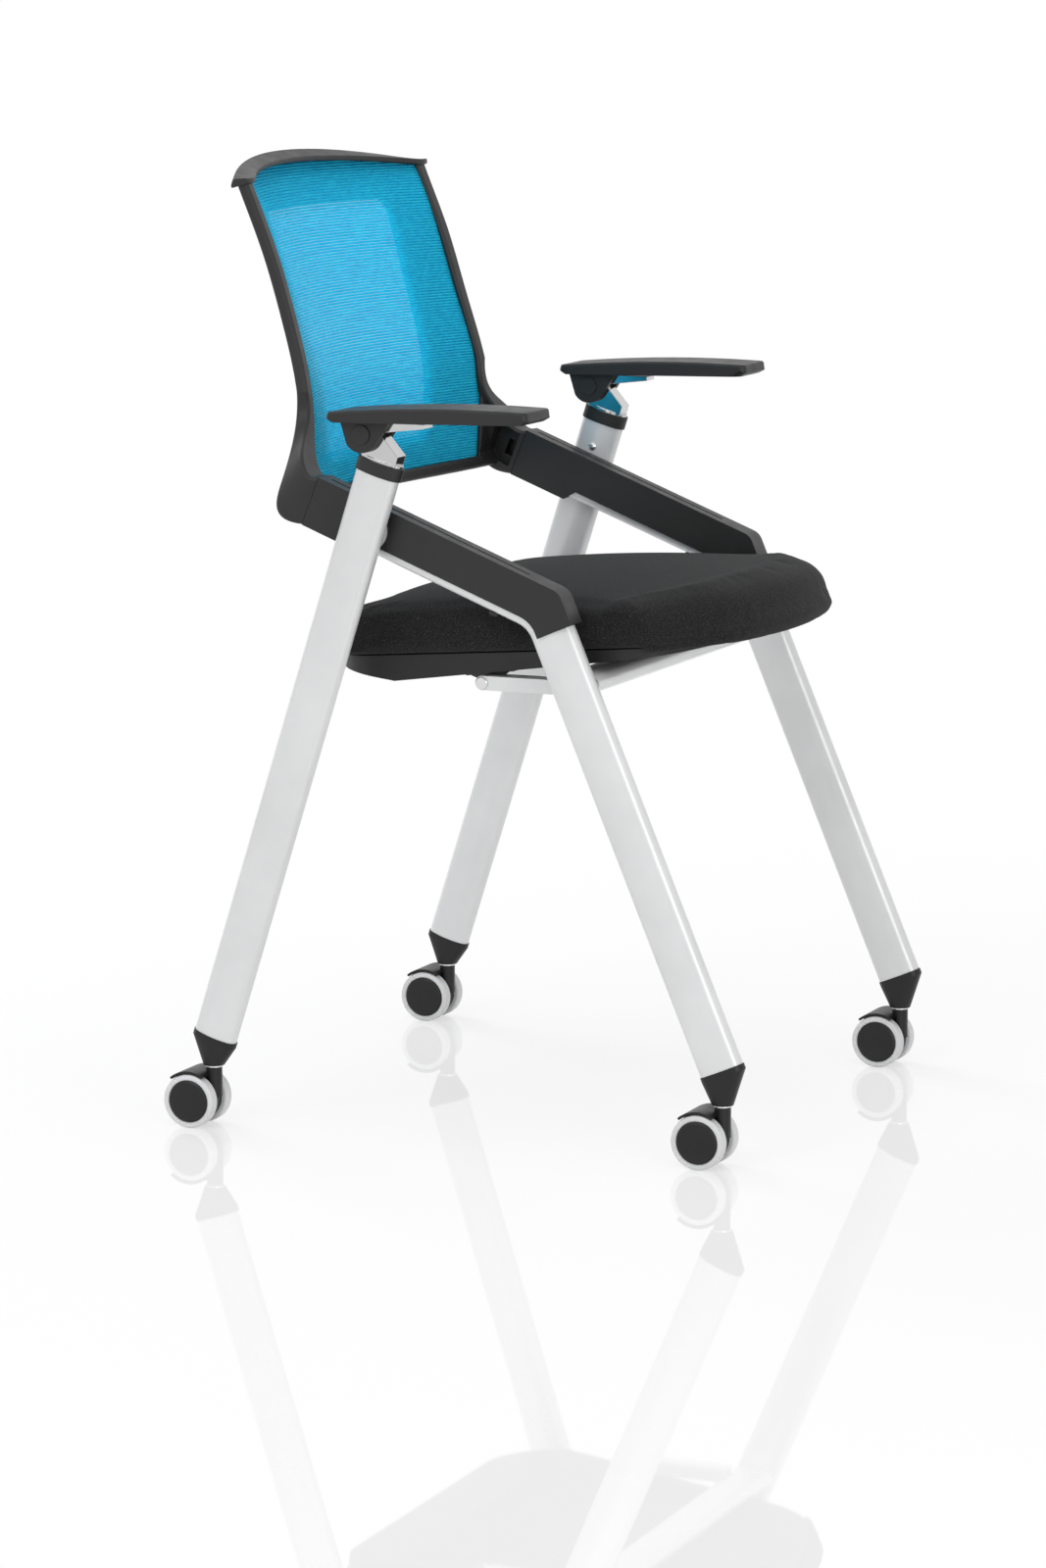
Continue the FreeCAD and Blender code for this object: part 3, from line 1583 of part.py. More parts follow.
pieces.append(both_sides("arm_collars", arm_collar))
pieces += pair("arm_bracket", arm_bracket)
pieces.append(both_sides("arm_bracket_screws", bracket_screw))
pieces.append(both_sides("arm_hinge_pins", arm_hinge_pin))
pieces += pair("arm_pad", arm_pad)
outer_cap = arm_pivot_cap("pivot_cap_out", -1)
inner_cap = arm_pivot_cap("pivot_cap_in", 1)
right_caps = joined("right_arm_pivot_caps", [outer_cap, inner_cap])
pieces.append(right_caps)
pieces.append(mirrored(right_caps, "left_arm_pivot_caps"))

pieces.append(back_frame("back_frame"))
pieces.append(back_mesh("back_mesh"))
pieces.append(both_sides("rail_end_inserts", rail_end_insert))
pieces.append(back_frame_screws("back_frame_screws"))

# Check and save

doc.recompute()
broken = [thing.Name for thing in doc.Objects if "Invalid" in thing.State or "Error" in thing.State]
if broken:
    raise RuntimeError("not built: " + ", ".join(broken))
os.makedirs("parts", exist_ok=True)
for piece in pieces:
    shape = piece.Shape
    if shape.isNull() or not shape.isValid():
        raise RuntimeError("bad shape: " + piece.Label)
    shape.exportStep("parts/%s.step" % piece.Label)
print(len(pieces), "pieces")
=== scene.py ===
import functools
import json
import math

import bmesh
import bpy
from mathutils import Matrix, Vector
from mathutils.bvhtree import BVHTree


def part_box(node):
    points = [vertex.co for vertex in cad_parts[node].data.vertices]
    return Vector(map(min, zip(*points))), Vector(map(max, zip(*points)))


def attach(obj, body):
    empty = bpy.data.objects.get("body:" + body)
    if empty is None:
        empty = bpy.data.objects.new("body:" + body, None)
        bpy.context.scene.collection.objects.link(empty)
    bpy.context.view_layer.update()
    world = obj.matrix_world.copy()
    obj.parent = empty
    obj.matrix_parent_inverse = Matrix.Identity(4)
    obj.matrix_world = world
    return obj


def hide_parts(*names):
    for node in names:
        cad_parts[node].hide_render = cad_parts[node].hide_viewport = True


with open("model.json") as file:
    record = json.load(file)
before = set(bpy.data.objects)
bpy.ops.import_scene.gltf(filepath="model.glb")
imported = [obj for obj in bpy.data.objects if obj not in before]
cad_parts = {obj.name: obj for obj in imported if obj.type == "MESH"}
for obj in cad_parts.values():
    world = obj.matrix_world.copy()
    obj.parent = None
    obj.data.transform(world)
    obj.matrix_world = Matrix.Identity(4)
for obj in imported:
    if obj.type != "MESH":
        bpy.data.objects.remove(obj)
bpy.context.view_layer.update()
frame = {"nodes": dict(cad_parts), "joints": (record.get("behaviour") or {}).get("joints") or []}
nodes = frame["nodes"]

# Sizes in metres. The chair faces -Y, and the sitter's right is -X.

MM = 0.001

# Camera, as solved from the photo

PHOTO_HEIGHT_PIXELS = 1600
FOCAL_PIXELS = 5617
SENSOR_MM = 36
CAMERA_PLACE = Vector((-4.699, -1.9933, 1.128))
CAMERA_AZIMUTH = math.radians(-66.67)
CAMERA_ELEVATION = math.radians(9.28)
CAMERA_NEAR = 0.1
CAMERA_FAR = 100

# Weave of the back mesh, and the window in its second layer

RIB_PITCH = 2.6 * MM
RIB_HEIGHT = 2.52 * MM
RIB_DEPTH = 0.9 * MM
THREAD_PITCH = 3.1 * MM
THREAD_WIDTH = 0.7 * MM
THREAD_DEPTH = 0.5 * MM
STRAND_STEP = 9 * MM
SHORTEST_RIB = 14 * MM
EDGE_STRIDE = 4 * MM
EDGE_EXACTNESS = 0.2 * MM
FRONT_LAYER_SET_BACK = 0.6 * MM
REAR_LAYER_SET_BACK = 2.5 * MM
REAR_LAYER_HANG = 7 * MM
REAR_LAYER_SLOPE = 30 * MM
WINDOW_TOP_BORDER = 44 * MM
WINDOW_BOTTOM_BORDER = 34 * MM
WINDOW_WIDE = 138 * MM
WINDOW_NARROW = 116 * MM
WINDOW_CORNER = 14 * MM

# Seat cushion: the rim of the pan under it, its front roll and brow, its dip at the back, its swelling

SEAT_PITCH = math.radians(7.9)
PAN_RIM_HEIGHT = 27.2 * MM
PAN_RIM_SLOPE = 0.0608
PAN_RIM_GRIP = 4 * MM
FRONT_STRIP = 10 * MM
ROLL_DROP = 10 * MM
ROLL_DROP_REACH = 23 * MM
ROLL_DROP_FADE = 7 * MM
ROLL_TOP_START = 5 * MM
ROLL_TOP_FADE = 35 * MM
ROLL_TUCK = 6 * MM
ROLL_TUCK_REACH = 14 * MM
BROW_LIFT = 3 * MM
BROW_RISE = 12 * MM
BROW_FALL_START = 15 * MM
BROW_FALL = 90 * MM
BROW_HEIGHT = 30 * MM
REAR_DIP = 22 * MM
REAR_DIP_REACH = 70 * MM
REAR_DIP_BASE = 8 * MM
REAR_DIP_HEIGHT = 30 * MM
REAR_DIP_SIDE = 0.70
REAR_DIP_SIDE_FADE = 0.22
CUSHION_VOXEL = 4.0 * MM
CUSHION_SHRINK = 1.5 * MM
CUSHION_PRESSURE = 4
CUSHION_CAP = 2.5 * MM
CUSHION_FRAMES = 20

# Studio. Each lamp has its name, place, width, power and whether it shows in glossy things.

CHAIR_MIDDLE = Vector((0, 0, 0.5))
ROOM_LIGHT = 0.50
LAMPS = [
    ("top_lamp", Vector((-0.3, -0.2, 3.2)), 2.4, 25, False),
    ("key_lamp", Vector((-2.6, 0.6, 2.2)), 1.6, 16, True),
    ("front_lamp", Vector((-2.2, -2.5, 1.0)), 1.4, 17.5, True),
    ("back_lamp", Vector((1.6, 2.8, 2.0)), 1.8, 52, False),
]
FLOOR_REACH = 40.0
FLOOR_COLOUR = (0.95, 0.95, 0.95, 1)
FLOOR_LIFT_NEAR = 0.72
FLOOR_FADE = (0.6, 1.5)
FLOOR_POLISH = 0.16
FLOOR_POLISH_ROUGHNESS = 0.02


# Materials

def new_material(name):
    """A node material and its shader, ready to be wired."""
    made = bpy.data.materials.new(name)
    made.use_nodes = True
    shader = made.node_tree.nodes["Principled BSDF"]
    return made, made.node_tree, shader


def noise(tree, scale, detail=3.0, roughness=0.55, along_x=1.0):
    """Noise laid on the object's own coordinates, so that its scale is per metre.

    along_x below 1 draws it out into streaks along X.
    """
    place = tree.nodes.new("ShaderNodeTexCoord")
    drawn = tree.nodes.new("ShaderNodeMapping")
    drawn.inputs["Scale"].default_value = (along_x, 1, 1)
    made = tree.nodes.new("ShaderNodeTexNoise")
    made.inputs["Scale"].default_value = scale
    made.inputs["Detail"].default_value = detail
    made.inputs["Roughness"].default_value = roughness
    tree.links.new(place.outputs["Object"], drawn.inputs["Vector"])
    tree.links.new(drawn.outputs["Vector"], made.inputs["Vector"])
    return made.outputs["Fac"]


def mapped(tree, value, low, high, start=0.3, end=0.7):
    """A value that runs from start to end, stretched to run from low to high."""
    made = tree.nodes.new("ShaderNodeMapRange")
    made.inputs["From Min"].default_value = start
    made.inputs["From Max"].default_value = end
    made.inputs["To Min"].default_value = low
    made.inputs["To Max"].default_value = high
    tree.links.new(value, made.inputs["Value"])
    return made.outputs["Result"]


def mixed_colour(tree, share, one, other):
    """Two colours mixed by a value."""
    made = tree.nodes.new("ShaderNodeMix")
    made.data_type = "RGBA"
    made.inputs["A"].default_value = (*one, 1)
    made.inputs["B"].default_value = (*other, 1)
    tree.links.new(share, made.inputs["Factor"])
    return made.outputs["Result"]


def mixed_shader(tree, one, other):
    """A mix of two shaders, its share still to be set."""
    made = tree.nodes.new("ShaderNodeMixShader")
    tree.links.new(one, made.inputs[1])
    tree.links.new(other, made.inputs[2])
    return made


def bumped(tree, shader, height, strength, distance, edge=0.0):
    """A bump on the shader's normal, with edges that look rounded by a small radius if one is given."""
    bump = tree.nodes.new("ShaderNodeBump")
    bump.inputs["Strength"].default_value = strength
    bump.inputs["Distance"].default_value = distance
    tree.links.new(height, bump.inputs["Height"])
    if edge:
        soft = tree.nodes.new("ShaderNodeBevel")
        soft.samples = 6
        soft.inputs["Radius"].default_value = edge
        tree.links.new(soft.outputs["Normal"], bump.inputs["Normal"])
    tree.links.new(bump.outputs["Normal"], shader.inputs["Normal"])


def finish_of(name, dark, light, rough, grain, bump, edge=0.0, **sockets):
    """A hard finish: two close colours in soft patches, uneven gloss and a fine grain.

    rough is (least, most), grain the grain's scale per metre, bump (strength, distance in metres) and
    edge a radius in metres. The other values go to the shader's sockets of those names.
    """
    made, tree, shader = new_material(name)
    patches = mapped(tree, noise(tree, scale=14), 0, 1)
    tree.links.new(mixed_colour(tree, patches, dark, light), shader.inputs["Base Color"])
    gloss = noise(tree, scale=60)
    tree.links.new(mapped(tree, gloss, *rough), shader.inputs["Roughness"])
    bumped(tree, shader, noise(tree, grain, detail=2.0), *bump, edge)
    for socket, value in sockets.items():
        shader.inputs[socket.replace("_", " ")].default_value = value
    return made


def grey(level):
    return (level, level, level)


def silver_paint():
    return finish_of(
        "silver_paint", dark=(0.70, 0.705, 0.71), light=(0.76, 0.765, 0.77), rough=(0.30, 0.38),
        grain=900, bump=(0.05, 0.0002), Coat_Weight=0.4, Coat_Roughness=0.14, Metallic=0.2,
    )


def moulded_black(name, level, rough):
    """Black plastic with the fine spark grain of a mould."""
    contrast = 1.35
    return finish_of(
        name, dark=grey(level), light=grey(level * contrast), rough=rough,
        grain=1700, bump=(0.16, 0.00025), edge=0.0007, Specular_IOR_Level=0.42,
    )


def black_nylon():
    return finish_of(
        "black_nylon", dark=grey(0.005), light=grey(0.008), rough=(0.36, 0.46),
        grain=1400, bump=(0.10, 0.0002), edge=0.0005, Specular_IOR_Level=0.36,
    )


def black_paint():
    return finish_of(
        "black_paint", dark=grey(0.012), light=grey(0.018), rough=(0.30, 0.42),
        grain=1000, bump=(0.10, 0.0002), edge=0.0004, Coat_Weight=0.2,
    )


def grey_tread():
    return finish_of(
        "grey_tread", dark=(0.67, 0.675, 0.68), light=(0.76, 0.765, 0.77), rough=(0.28, 0.4),
        grain=700, bump=(0.06, 0.0002), edge=0.0006,
        Specular_IOR_Level=0.45, Subsurface_Weight=0.12, Subsurface_Scale=0.004,
    )


def chrome():
    return finish_of(
        "chrome", dark=grey(0.52), light=grey(0.62), rough=(0.05, 0.10),
        grain=260, bump=(0.02, 0.0002), edge=0.0010, Metallic=1.0,
    )


def bright_steel():
    return finish_of(
        "bright_steel", dark=grey(0.62), light=grey(0.74), rough=(0.18, 0.30),
        grain=800, bump=(0.06, 0.0002), edge=0.0003, Metallic=1.0,
    )


def seat_fabric():
    """Black woven cover: speckled yarn, soft sheen and a fine uneven weave."""
    made, tree, shader = new_material("seat_fabric")
    specks = mapped(tree, noise(tree, scale=1000, detail=2.0, roughness=0.7), 0, 1, start=0.50, end=0.78)
    yarn = mixed_colour(tree, specks, grey(0.012), grey(0.070))
    patches = mapped(tree, noise(tree, scale=9), 0, 1)
    shade = tree.nodes.new("ShaderNodeMix")
    shade.data_type = "RGBA"
    shade.blend_type = "MULTIPLY"
    shade.inputs["Factor"].default_value = 0.35
    tree.links.new(yarn, shade.inputs["A"])
    tree.links.new(mixed_colour(tree, patches, grey(0.7), grey(1.0)), shade.inputs["B"])
    tree.links.new(shade.outputs["Result"], shader.inputs["Base Color"])
    shader.inputs["Roughness"].default_value = 0.92
    shader.inputs["Specular IOR Level"].default_value = 0.12
    shader.inputs["Sheen Weight"].default_value = 0.06
    shader.inputs["Sheen Roughness"].default_value = 0.5
    weave = noise(tree, scale=1300, detail=3.0, roughness=0.7)
    bumped(tree, shader, weave, strength=0.25, distance=0.0004)
    return made


def mesh_fabric(name, dark, light, through):
    """Blue mesh yarn: fine stripes along the ribs, and light that comes through from behind."""
    made, tree, shader = new_material(name)
    stripes = noise(tree, scale=380, detail=2.0, roughness=0.6, along_x=0.08)
    colour = mixed_colour(tree, mapped(tree, stripes, 0, 1), dark, light)
    tree.links.new(colour, shader.inputs["Base Color"])
    shader.inputs["Roughness"].default_value = 0.62
    shader.inputs["Specular IOR Level"].default_value = 0.3
    strands = noise(tree, scale=1800, detail=2.0, along_x=0.15)
    bumped(tree, shader, strands, strength=0.2, distance=0.0002)
    glow = tree.nodes.new("ShaderNodeBsdfTranslucent")
    tree.links.new(colour, glow.inputs["Color"])
    both = mixed_shader(tree, shader.outputs["BSDF"], glow.outputs["BSDF"])
    both.inputs["Fac"].default_value = through
    tree.links.new(both.outputs["Shader"], tree.nodes["Material Output"].inputs["Surface"])
    return made


def dress_nodes():
    """Gives each CAD node a finish, by the first words of the list that are in its name."""
    silver = silver_paint()
    plastic = moulded_black("black_plastic", level=0.011, rough=(0.40, 0.50))
    arm_plastic = moulded_black("arm_plastic", level=0.011, rough=(0.42, 0.54))
    pan_plastic = moulded_black("pan_plastic", level=0.006, rough=(0.44, 0.54))
    nylon = black_nylon()
    paint = black_paint()
    tread = grey_tread()
    steel = bright_steel()
    bright = chrome()
    kinds = [
        ("tread", tread),
        ("hub", nylon),
        ("castor_fork", nylon),
        ("castor_stems", steel),
        ("castor_axle", steel),
        ("leg_cap", nylon),
        ("front_frame_tube", silver),
        ("rear_leg", silver),
        ("leg_bosses", silver),
        ("seat_cross_beam", silver),
        ("seat_bar", silver),
        ("arm_collars", plastic),
        ("arm_bracket_screws", steel),
        ("arm_bracket", bright),
        ("hinge_pin", steel),
        ("hinge_bracket", paint),
        ("seat_pan", pan_plastic),
        ("arm_pad", arm_plastic),
        ("pivot_caps", arm_plastic),
        ("screws", steel),
        ("", plastic),
    ]
    for name, node in nodes.items():
        finish = next(made for words, made in kinds if words in name)
        node.data.materials.clear()
        node.data.materials.append(finish)


# Back mesh

def mesh_from(name, points, faces, finish):
    """A new smooth mesh object from points and faces."""
    data = bpy.data.meshes.new(name)
    data.from_pydata(points, [], faces)
    data.materials.append(finish)
    data.shade_smooth()
    made = bpy.data.objects.new(name, data)
    bpy.context.scene.collection.objects.link(made)
    return made


class Sheet:
    """The front of the back's CAD sheet, asked where it lies behind a point of the front view."""

    def __init__(self, node):
        self.tree = BVHTree.FromObject(node, bpy.context.evaluated_depsgraph_get())
        self.low, self.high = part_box(node.name)

    def depth(self, x, z):
        """Y of the sheet's front, or None beside the sheet."""
        well_before = self.low.y - 0.1
        place = self.tree.ray_cast(Vector((x, well_before, z)), Vector((0, 1, 0)))[0]
        return None if place is None else place.y

    def covers(self, x, z):
        return self.depth(x, z) is not None


def edge_from(start, way, inside):
    """Where a line from start leaves the sheet, going up (way 1) or down (way -1)."""
    span = 0.0
    stride = EDGE_STRIDE
    while stride > EDGE_EXACTNESS:
        if inside(start + way * (span + stride)):
            span += stride
        else:
            stride /= 2
    return start + way * span


def add_strand(points, faces, line, across, deep):
    """A closed lens-shaped strand along a line, with points to each side and in front and behind."""
    first = len(points)
    for place in line:
        points += [place - across, place - deep, place + across, place + deep]
    sides = 4
    for ring in range(len(line) - 1):
        here = first + ring * sides
        onward = here + sides
        for corner in range(sides):
            beside = (corner + 1) % sides
            faces.append((here + corner, here + beside, onward + beside, onward + corner))
    last = first + (len(line) - 1) * sides
    faces.append((first + 3, first + 2, first + 1, first))
    faces.append((last, last + 1, last + 2, last + 3))


def stretched_line(sheet, start, end, fixed, upright, behind):
    """Points of one strand on the sheet, from start to end along X or Z."""
    count = max(3, int(abs(end - start) / STRAND_STEP))
    line = []
    for number in range(count + 1):
        along = start + (end - start) * number / count
        x, z = (fixed, along) if upright else (along, fixed)
        y = sheet.depth(x, z)
        if y is not None:
            line.append(Vector((x, y + behind(x, z), z)))
    return line


def steps(low, high, pitch):
    """Places a pitch apart, one pitch in from low and up to half a pitch short of high."""
    place = low + pitch
    while place < high - pitch / 2:
        yield place
        place += pitch


def woven_sheet(name, sheet, finish, ribs_at, threads_at, behind):
    """Mesh fabric as its ribs and upright threads, in the spans that the two functions give."""
    points, faces = [], []

    def add_strands(places, spans_at, upright, across, deep):
        for place in places:
            for start, end in spans_at(place):
                line = stretched_line(sheet, start, end, place, upright, behind)
                if len(line) > 2:
                    add_strand(points, faces, line, across, deep)

    add_strands(
        steps(sheet.low.z, sheet.high.z, RIB_PITCH), ribs_at, False,
        across=Vector((0, 0, RIB_HEIGHT / 2)), deep=Vector((0, RIB_DEPTH / 2, 0)),
    )
    add_strands(
        steps(-sheet.high.x, sheet.high.x, THREAD_PITCH), threads_at, True,
        across=Vector((THREAD_WIDTH / 2, 0, 0)), deep=Vector((0, THREAD_DEPTH / 2, 0)),
    )
    made = mesh_from(name, points, faces, finish)
    tidy = bmesh.new()
    tidy.from_mesh(made.data)
    bmesh.ops.recalc_face_normals(tidy, faces=tidy.faces)
    tidy.to_mesh(made.data)
    tidy.free()
    return made


def back_mesh():
    """Front layer over the whole back, and a second layer behind it as a border round a window."""
    sheet = Sheet(nodes["back_mesh"])
    low, high = sheet.low.z, sheet.high.z
    middle = (low + high) / 2
    window_top = high - WINDOW_TOP_BORDER
    window_bottom = low + WINDOW_BOTTOM_BORDER

    @functools.cache
    def half_width(z):
        return edge_from(0.0, 1.0, lambda x: sheet.covers(x, z))

    def height_span(x):
        """Lowest and highest Z of the sheet at a distance from the middle, or None beside it."""
        if not sheet.covers(x, middle):
            return None
        return tuple(edge_from(middle, way, lambda z: sheet.covers(x, z)) for way in (-1.0, 1.0))

    def front_ribs(z):
        reach = half_width(z)
        return [(-reach, reach)] if reach > SHORTEST_RIB else []

    def front_threads(x):
        span = height_span(x)
        return [span] if span else []

    def opening(z):
        """Half width of the second layer's window at a height, rounded at its corners."""
        if not window_bottom < z < window_top:
            return 0
        share = (z - window_bottom) / (window_top - window_bottom)
        half = WINDOW_NARROW + (WINDOW_WIDE - WINDOW_NARROW) * share
        near = min(z - window_bottom, window_top - z)
        if near > WINDOW_CORNER:
            return half
        return half - WINDOW_CORNER + math.sqrt(WINDOW_CORNER ** 2 - (WINDOW_CORNER - near) ** 2)

    def rear_ribs(z):
        reach = half_width(z)
        hole = opening(z)
        if reach <= SHORTEST_RIB:
            return []
        return [(-reach, -hole), (hole, reach)] if hole else [(-reach, reach)]

    def rear_threads(x):
        span = height_span(x)
        if not span:
            return []
        share = (abs(x) - WINDOW_NARROW) / (WINDOW_WIDE - WINDOW_NARROW)
        if share > 1:
            return [span]
        side = window_bottom + (window_top - window_bottom) * max(share, 0)
        return [(span[0], side), (window_top, span[1])]

    def front_set_back(x, z):
        return FRONT_LAYER_SET_BACK

    def rear_set_back(x, z):
        """The second layer leaves the frame's groove and hangs behind the first."""
        side = half_width(round(z, 3)) - abs(x)
        inwards = min(1, *(gap / REAR_LAYER_SLOPE for gap in (high - z, z - low, side)))
        return REAR_LAYER_SET_BACK + REAR_LAYER_HANG * max(0, inwards)

    yarn = mesh_fabric(
        "blue_mesh", dark=(0.022, 0.68, 0.94), light=(0.036, 0.82, 1.00), through=0.48,
    )
    # The second layer is the same blue yarn with its colour painted darker: painted shade for the layer
    # that hangs behind the first.
    shaded_yarn = mesh_fabric(
        "blue_mesh_behind_painted_shade", dark=(0.010, 0.24, 0.42), light=(0.016, 0.32, 0.52), through=0.22,
    )
    front = woven_sheet("back_mesh_fabric", sheet, yarn, front_ribs, front_threads, front_set_back)
    rear = woven_sheet("back_mesh_border", sheet, shaded_yarn, rear_ribs, rear_threads, rear_set_back)
    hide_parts("back_mesh")
    for layer in (front, rear):
        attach(layer, "frame")


# Seat cushion

def copied(node, name):
    """A new object with its own copy of a CAD node's mesh."""
    made = bpy.data.objects.new(name, node.data.copy())
    bpy.context.scene.collection.objects.link(made)
    return made


def apply_modifiers(piece):
    """Replaces a piece's mesh by what its modifiers make of it."""
    seen = piece.evaluated_get(bpy.context.evaluated_depsgraph_get())
    data = bpy.data.meshes.new_from_object(seen)
    piece.modifiers.clear()
    piece.data = data


def remesh(piece):
    """Gives the cushion an even grid of small faces."""
    step = piece.modifiers.new("remesh", "REMESH")
    step.mode = "VOXEL"
    step.voxel_size = CUSHION_VOXEL
    soften = piece.modifiers.new("soften", "SMOOTH")
    soften.factor = 0.5
    soften.iterations = 2
    apply_modifiers(piece)


def swell(piece, held):
    """Fills a closed cover with pressure, held where it rests on the pan, and caps the swelling."""
    start = [vertex.co.copy() for vertex in piece.data.vertices]
    group = piece.vertex_groups.new(name="held")
    group.add([number for number, place in enumerate(start) if held(place)], 1.0, "REPLACE")
    cloth = piece.modifiers.new("cloth", "CLOTH")
    cloth.settings.use_pressure = True
    cloth.settings.uniform_pressure_force = CUSHION_PRESSURE
    cloth.settings.vertex_group_mass = group.name
    cloth.settings.effector_weights.gravity = 0
    scene = bpy.context.scene
    for number in range(1, CUSHION_FRAMES + 1):
        scene.frame_set(number)
    apply_modifiers(piece)
    scene.frame_set(1)
    for vertex, before in zip(piece.data.vertices, start):
        moved = vertex.co - before
        if moved.length > CUSHION_CAP:
            vertex.co = before + moved.normalized() * CUSHION_CAP


def eased(share):
    """0 to 1 with a soft start and end."""
    share = min(max(share, 0.0), 1.0)
    return share * share * (3 - 2 * share)


def above_rim(place):
    """How high a place, in the seat's own frame, is above the rim of the pan."""
    return place.z - PAN_RIM_HEIGHT - place.y * PAN_RIM_SLOPE


def front_edge(places):
    """A function for the frontmost Y of some points at a distance from the middle."""
    edge = {}
    for place in places:
        for column in (math.floor(place.x / FRONT_STRIP), math.ceil(place.x / FRONT_STRIP)):
            edge[column] = min(place.y, edge.get(column, 0))

    def at(x):
        column = math.floor(x / FRONT_STRIP)
        share = x / FRONT_STRIP - column
        return edge[column] * (1 - share) + edge.get(column + 1, edge[column]) * share

    return at


def shape_cushion(piece, to_seat):
    """Lets the front hang down as a roll before the pan, under a low brow.

    It also dips the top between the sides at the back.
    """
    places = [to_seat @ vertex.co for vertex in piece.data.vertices]
    half = max(place.x for place in places)
    rear = max(place.y for place in places)
    front = front_edge(places)
    from_seat = to_seat.inverted()
    for vertex, place in zip(piece.data.vertices, places):
        behind = place.y - front(place.x)
        before = rear - place.y
        height = above_rim(place)
        low = 1 - eased((height - ROLL_TOP_START) / ROLL_TOP_FADE)
        place.z -= ROLL_DROP * low * eased((ROLL_DROP_REACH - behind) / ROLL_DROP_FADE)
        brow = eased(behind / BROW_RISE) * (1 - eased((behind - BROW_FALL_START) / BROW_FALL))
        place.z += BROW_LIFT * brow * eased(height / BROW_HEIGHT)
        place.y += ROLL_TUCK * eased(1 - behind / ROLL_TUCK_REACH)
        dip = max(0, 1 - before / REAR_DIP_REACH) ** 2
        between = 1 - eased((abs(place.x) / half - REAR_DIP_SIDE) / REAR_DIP_SIDE_FADE)
        place.z -= REAR_DIP * dip * between * eased((height - REAR_DIP_BASE) / REAR_DIP_HEIGHT)
        vertex.co = from_seat @ place
    piece.data.update()


def seat_cushion():
    """Upholstered cushion, swollen from a slightly smaller copy of its CAD solid."""
    piece = copied(nodes["seat_cushion"], "seat_cushion_cover")
    remesh(piece)
    seat = next(joint for joint in frame["joints"] if joint["name"] == "seat_flip")
    to_seat = Matrix.Rotation(SEAT_PITCH, 4, "X") @ Matrix.Translation(-Vector(seat["pos_m"]))
    shape_cushion(piece, to_seat)
    remesh(piece)

    def rests(place):
        """True where the cover lies on the rim of the pan."""
        return above_rim(to_seat @ place) < PAN_RIM_GRIP

    for vertex in piece.data.vertices:
        if not rests(vertex.co):
            vertex.co -= vertex.normal * CUSHION_SHRINK
    swell(piece, rests)
    fine = piece.modifiers.new("fine", "SUBSURF")
    fine.levels = 1
    fine.render_levels = 1
    piece.data.shade_smooth()
    piece.data.materials.clear()
    piece.data.materials.append(seat_fabric())
    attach(piece, "seat")
    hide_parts("seat_cushion")


# Studio

def look_from(place, target, name, data):
    """A lamp or camera at a place, turned towards a target."""
    made = bpy.data.objects.new(name, data)
    bpy.context.scene.collection.objects.link(made)
    made.location = place
    made.rotation_euler = (target - place).to_track_quat("-Z", "Y").to_euler()
    return made


def soft_lamp(name, place, width, power, in_gloss):
    """A round lamp. Without in_gloss it doesn't show as a disc in the polished floor."""
    data = bpy.data.lights.new(name, "AREA")
    data.shape = "DISK"
    data.size = width
    data.energy = power
    made = look_from(place, CHAIR_MIDDLE, name, data)
    made.visible_glossy = in_gloss


def camera():
    data = bpy.data.cameras.new("camera")
    data.sensor_width = SENSOR_MM
    data.lens = FOCAL_PIXELS / PHOTO_HEIGHT_PIXELS * SENSOR_MM
    data.clip_start = CAMERA_NEAR
    data.clip_end = CAMERA_FAR
    flat = math.cos(CAMERA_ELEVATION)
    back = Vector((
        math.sin(CAMERA_AZIMUTH) * flat,
        -math.cos(CAMERA_AZIMUTH) * flat,
        math.sin(CAMERA_ELEVATION),
    ))
    bpy.context.scene.camera = look_from(CAMERA_PLACE, CAMERA_PLACE - back, "camera", data)


def seen_directly(tree):
    """1 for rays from the camera, from gloss or through glass, and 0 for the light that falls on things."""
    path = tree.nodes.new("ShaderNodeLightPath")
    value = path.outputs["Is Camera Ray"]
    for other in ("Is Glossy Ray", "Is Transmission Ray"):
        larger = tree.nodes.new("ShaderNodeMath")
        larger.operation = "MAXIMUM"
        tree.links.new(value, larger.inputs[0])
        tree.links.new(path.outputs[other], larger.inputs[1])
        value = larger.outputs["Value"]
    return value


def white_room(light):
    """White all round to look at, and a plain level of light from it."""
    world = bpy.data.worlds.new("room")
    bpy.context.scene.world = world
    world.use_nodes = True
    tree = world.node_tree
    background = tree.nodes["Background"]
    background.inputs["Color"].default_value = (1, 1, 1, 1)
    strength = mapped(tree, seen_directly(tree), light, 1.0, 0, 1)
    tree.links.new(strength, background.inputs["Strength"])


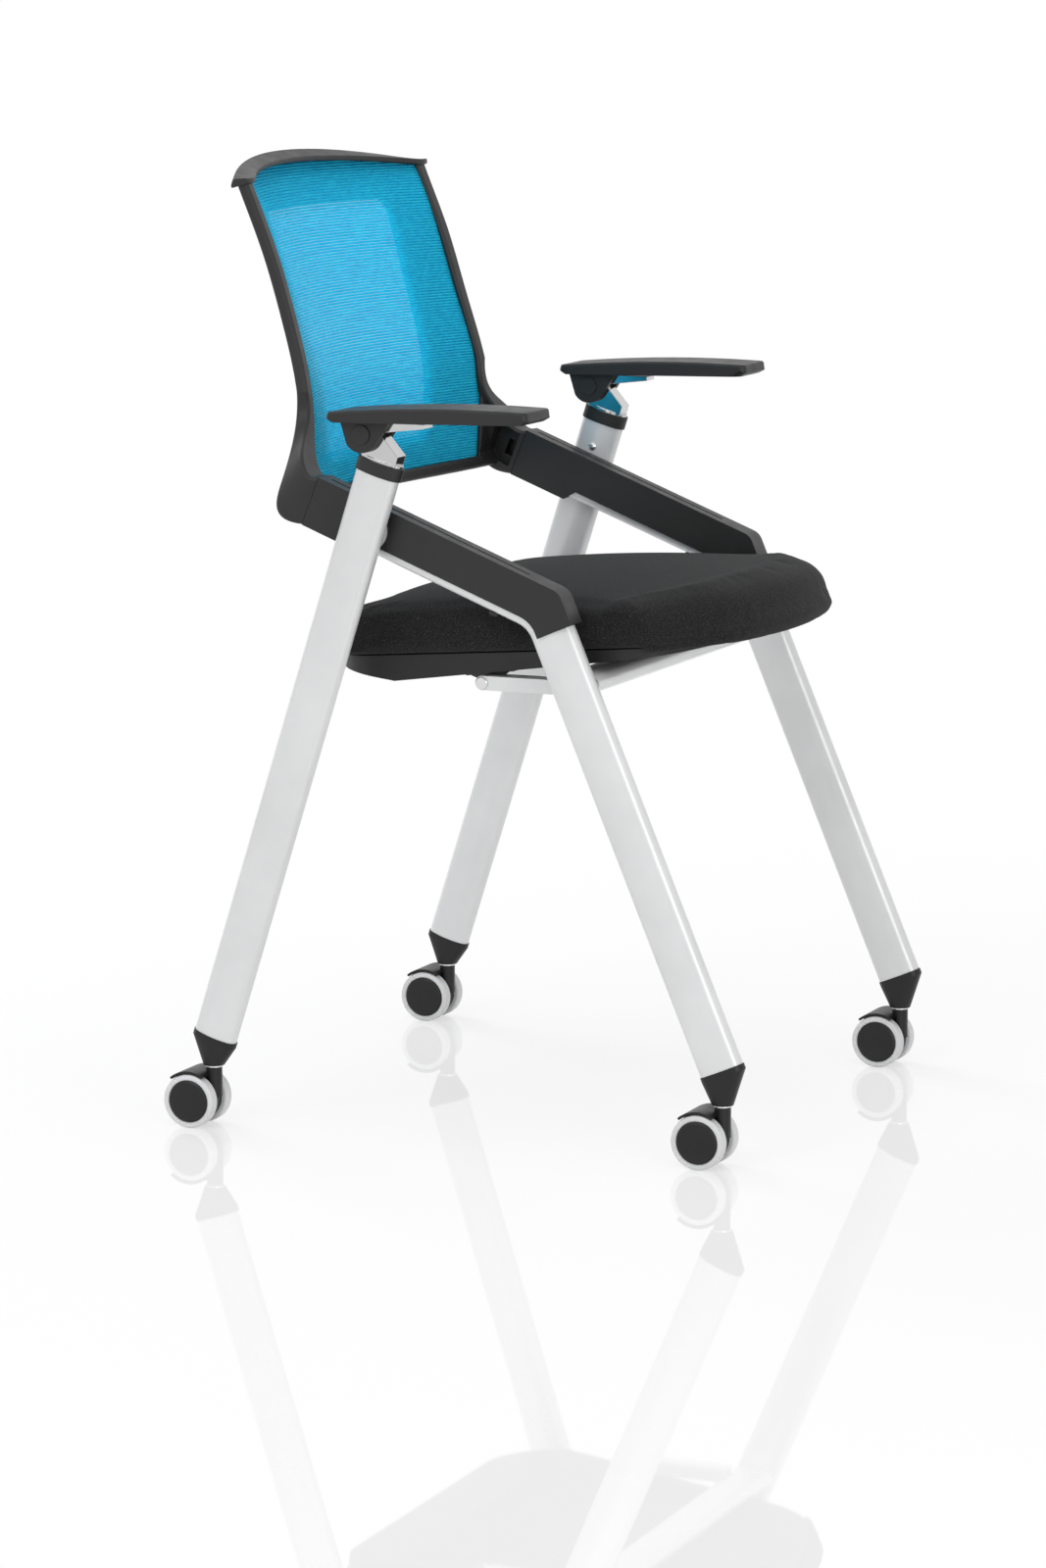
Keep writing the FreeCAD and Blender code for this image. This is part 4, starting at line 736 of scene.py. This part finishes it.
def floor():
    """Pale glossy floor that keeps a soft shadow and a faint reflection."""
    data = bpy.data.meshes.new("floor")
    corners = [(x * FLOOR_REACH, y * FLOOR_REACH, 0) for x, y in ((-1, -1), (1, -1), (1, 1), (-1, 1))]
    data.from_pydata(corners, [], [(0, 1, 2, 3)])
    made = bpy.data.objects.new("floor", data)
    bpy.context.scene.collection.objects.link(made)
    finish = bpy.data.materials.new("floor")
    finish.use_nodes = True
    tree = finish.node_tree
    tree.nodes.clear()
    matt = tree.nodes.new("ShaderNodeBsdfDiffuse")
    matt.inputs["Color"].default_value = FLOOR_COLOUR
    white = tree.nodes.new("ShaderNodeEmission")
    white.inputs["Strength"].default_value = 1.0
    place = tree.nodes.new("ShaderNodeTexCoord")
    distance = tree.nodes.new("ShaderNodeVectorMath")
    distance.operation = "LENGTH"
    tree.links.new(place.outputs["Object"], distance.inputs[0])
    fading = mapped(tree, distance.outputs["Value"], FLOOR_LIFT_NEAR, 1.0, *FLOOR_FADE)
    share = tree.nodes.new("ShaderNodeMath")
    share.operation = "MULTIPLY"
    tree.links.new(seen_directly(tree), share.inputs[0])
    tree.links.new(fading, share.inputs[1])
    pale = mixed_shader(tree, matt.outputs["BSDF"], white.outputs["Emission"])
    tree.links.new(share.outputs["Value"], pale.inputs["Fac"])
    gloss = tree.nodes.new("ShaderNodeBsdfGlossy")
    gloss.inputs["Color"].default_value = (1, 1, 1, 1)
    gloss.inputs["Roughness"].default_value = FLOOR_POLISH_ROUGHNESS
    polished = mixed_shader(tree, pale.outputs["Shader"], gloss.outputs["BSDF"])
    polished.inputs["Fac"].default_value = FLOOR_POLISH
    output = tree.nodes.new("ShaderNodeOutputMaterial")
    tree.links.new(polished.outputs["Shader"], output.inputs["Surface"])
    data.materials.append(finish)


def studio():
    white_room(ROOM_LIGHT)
    for lamp in LAMPS:
        soft_lamp(*lamp)
    floor()
    camera()
    bpy.context.scene.view_settings.view_transform = "Standard"


dress_nodes()
back_mesh()
seat_cushion()
studio()
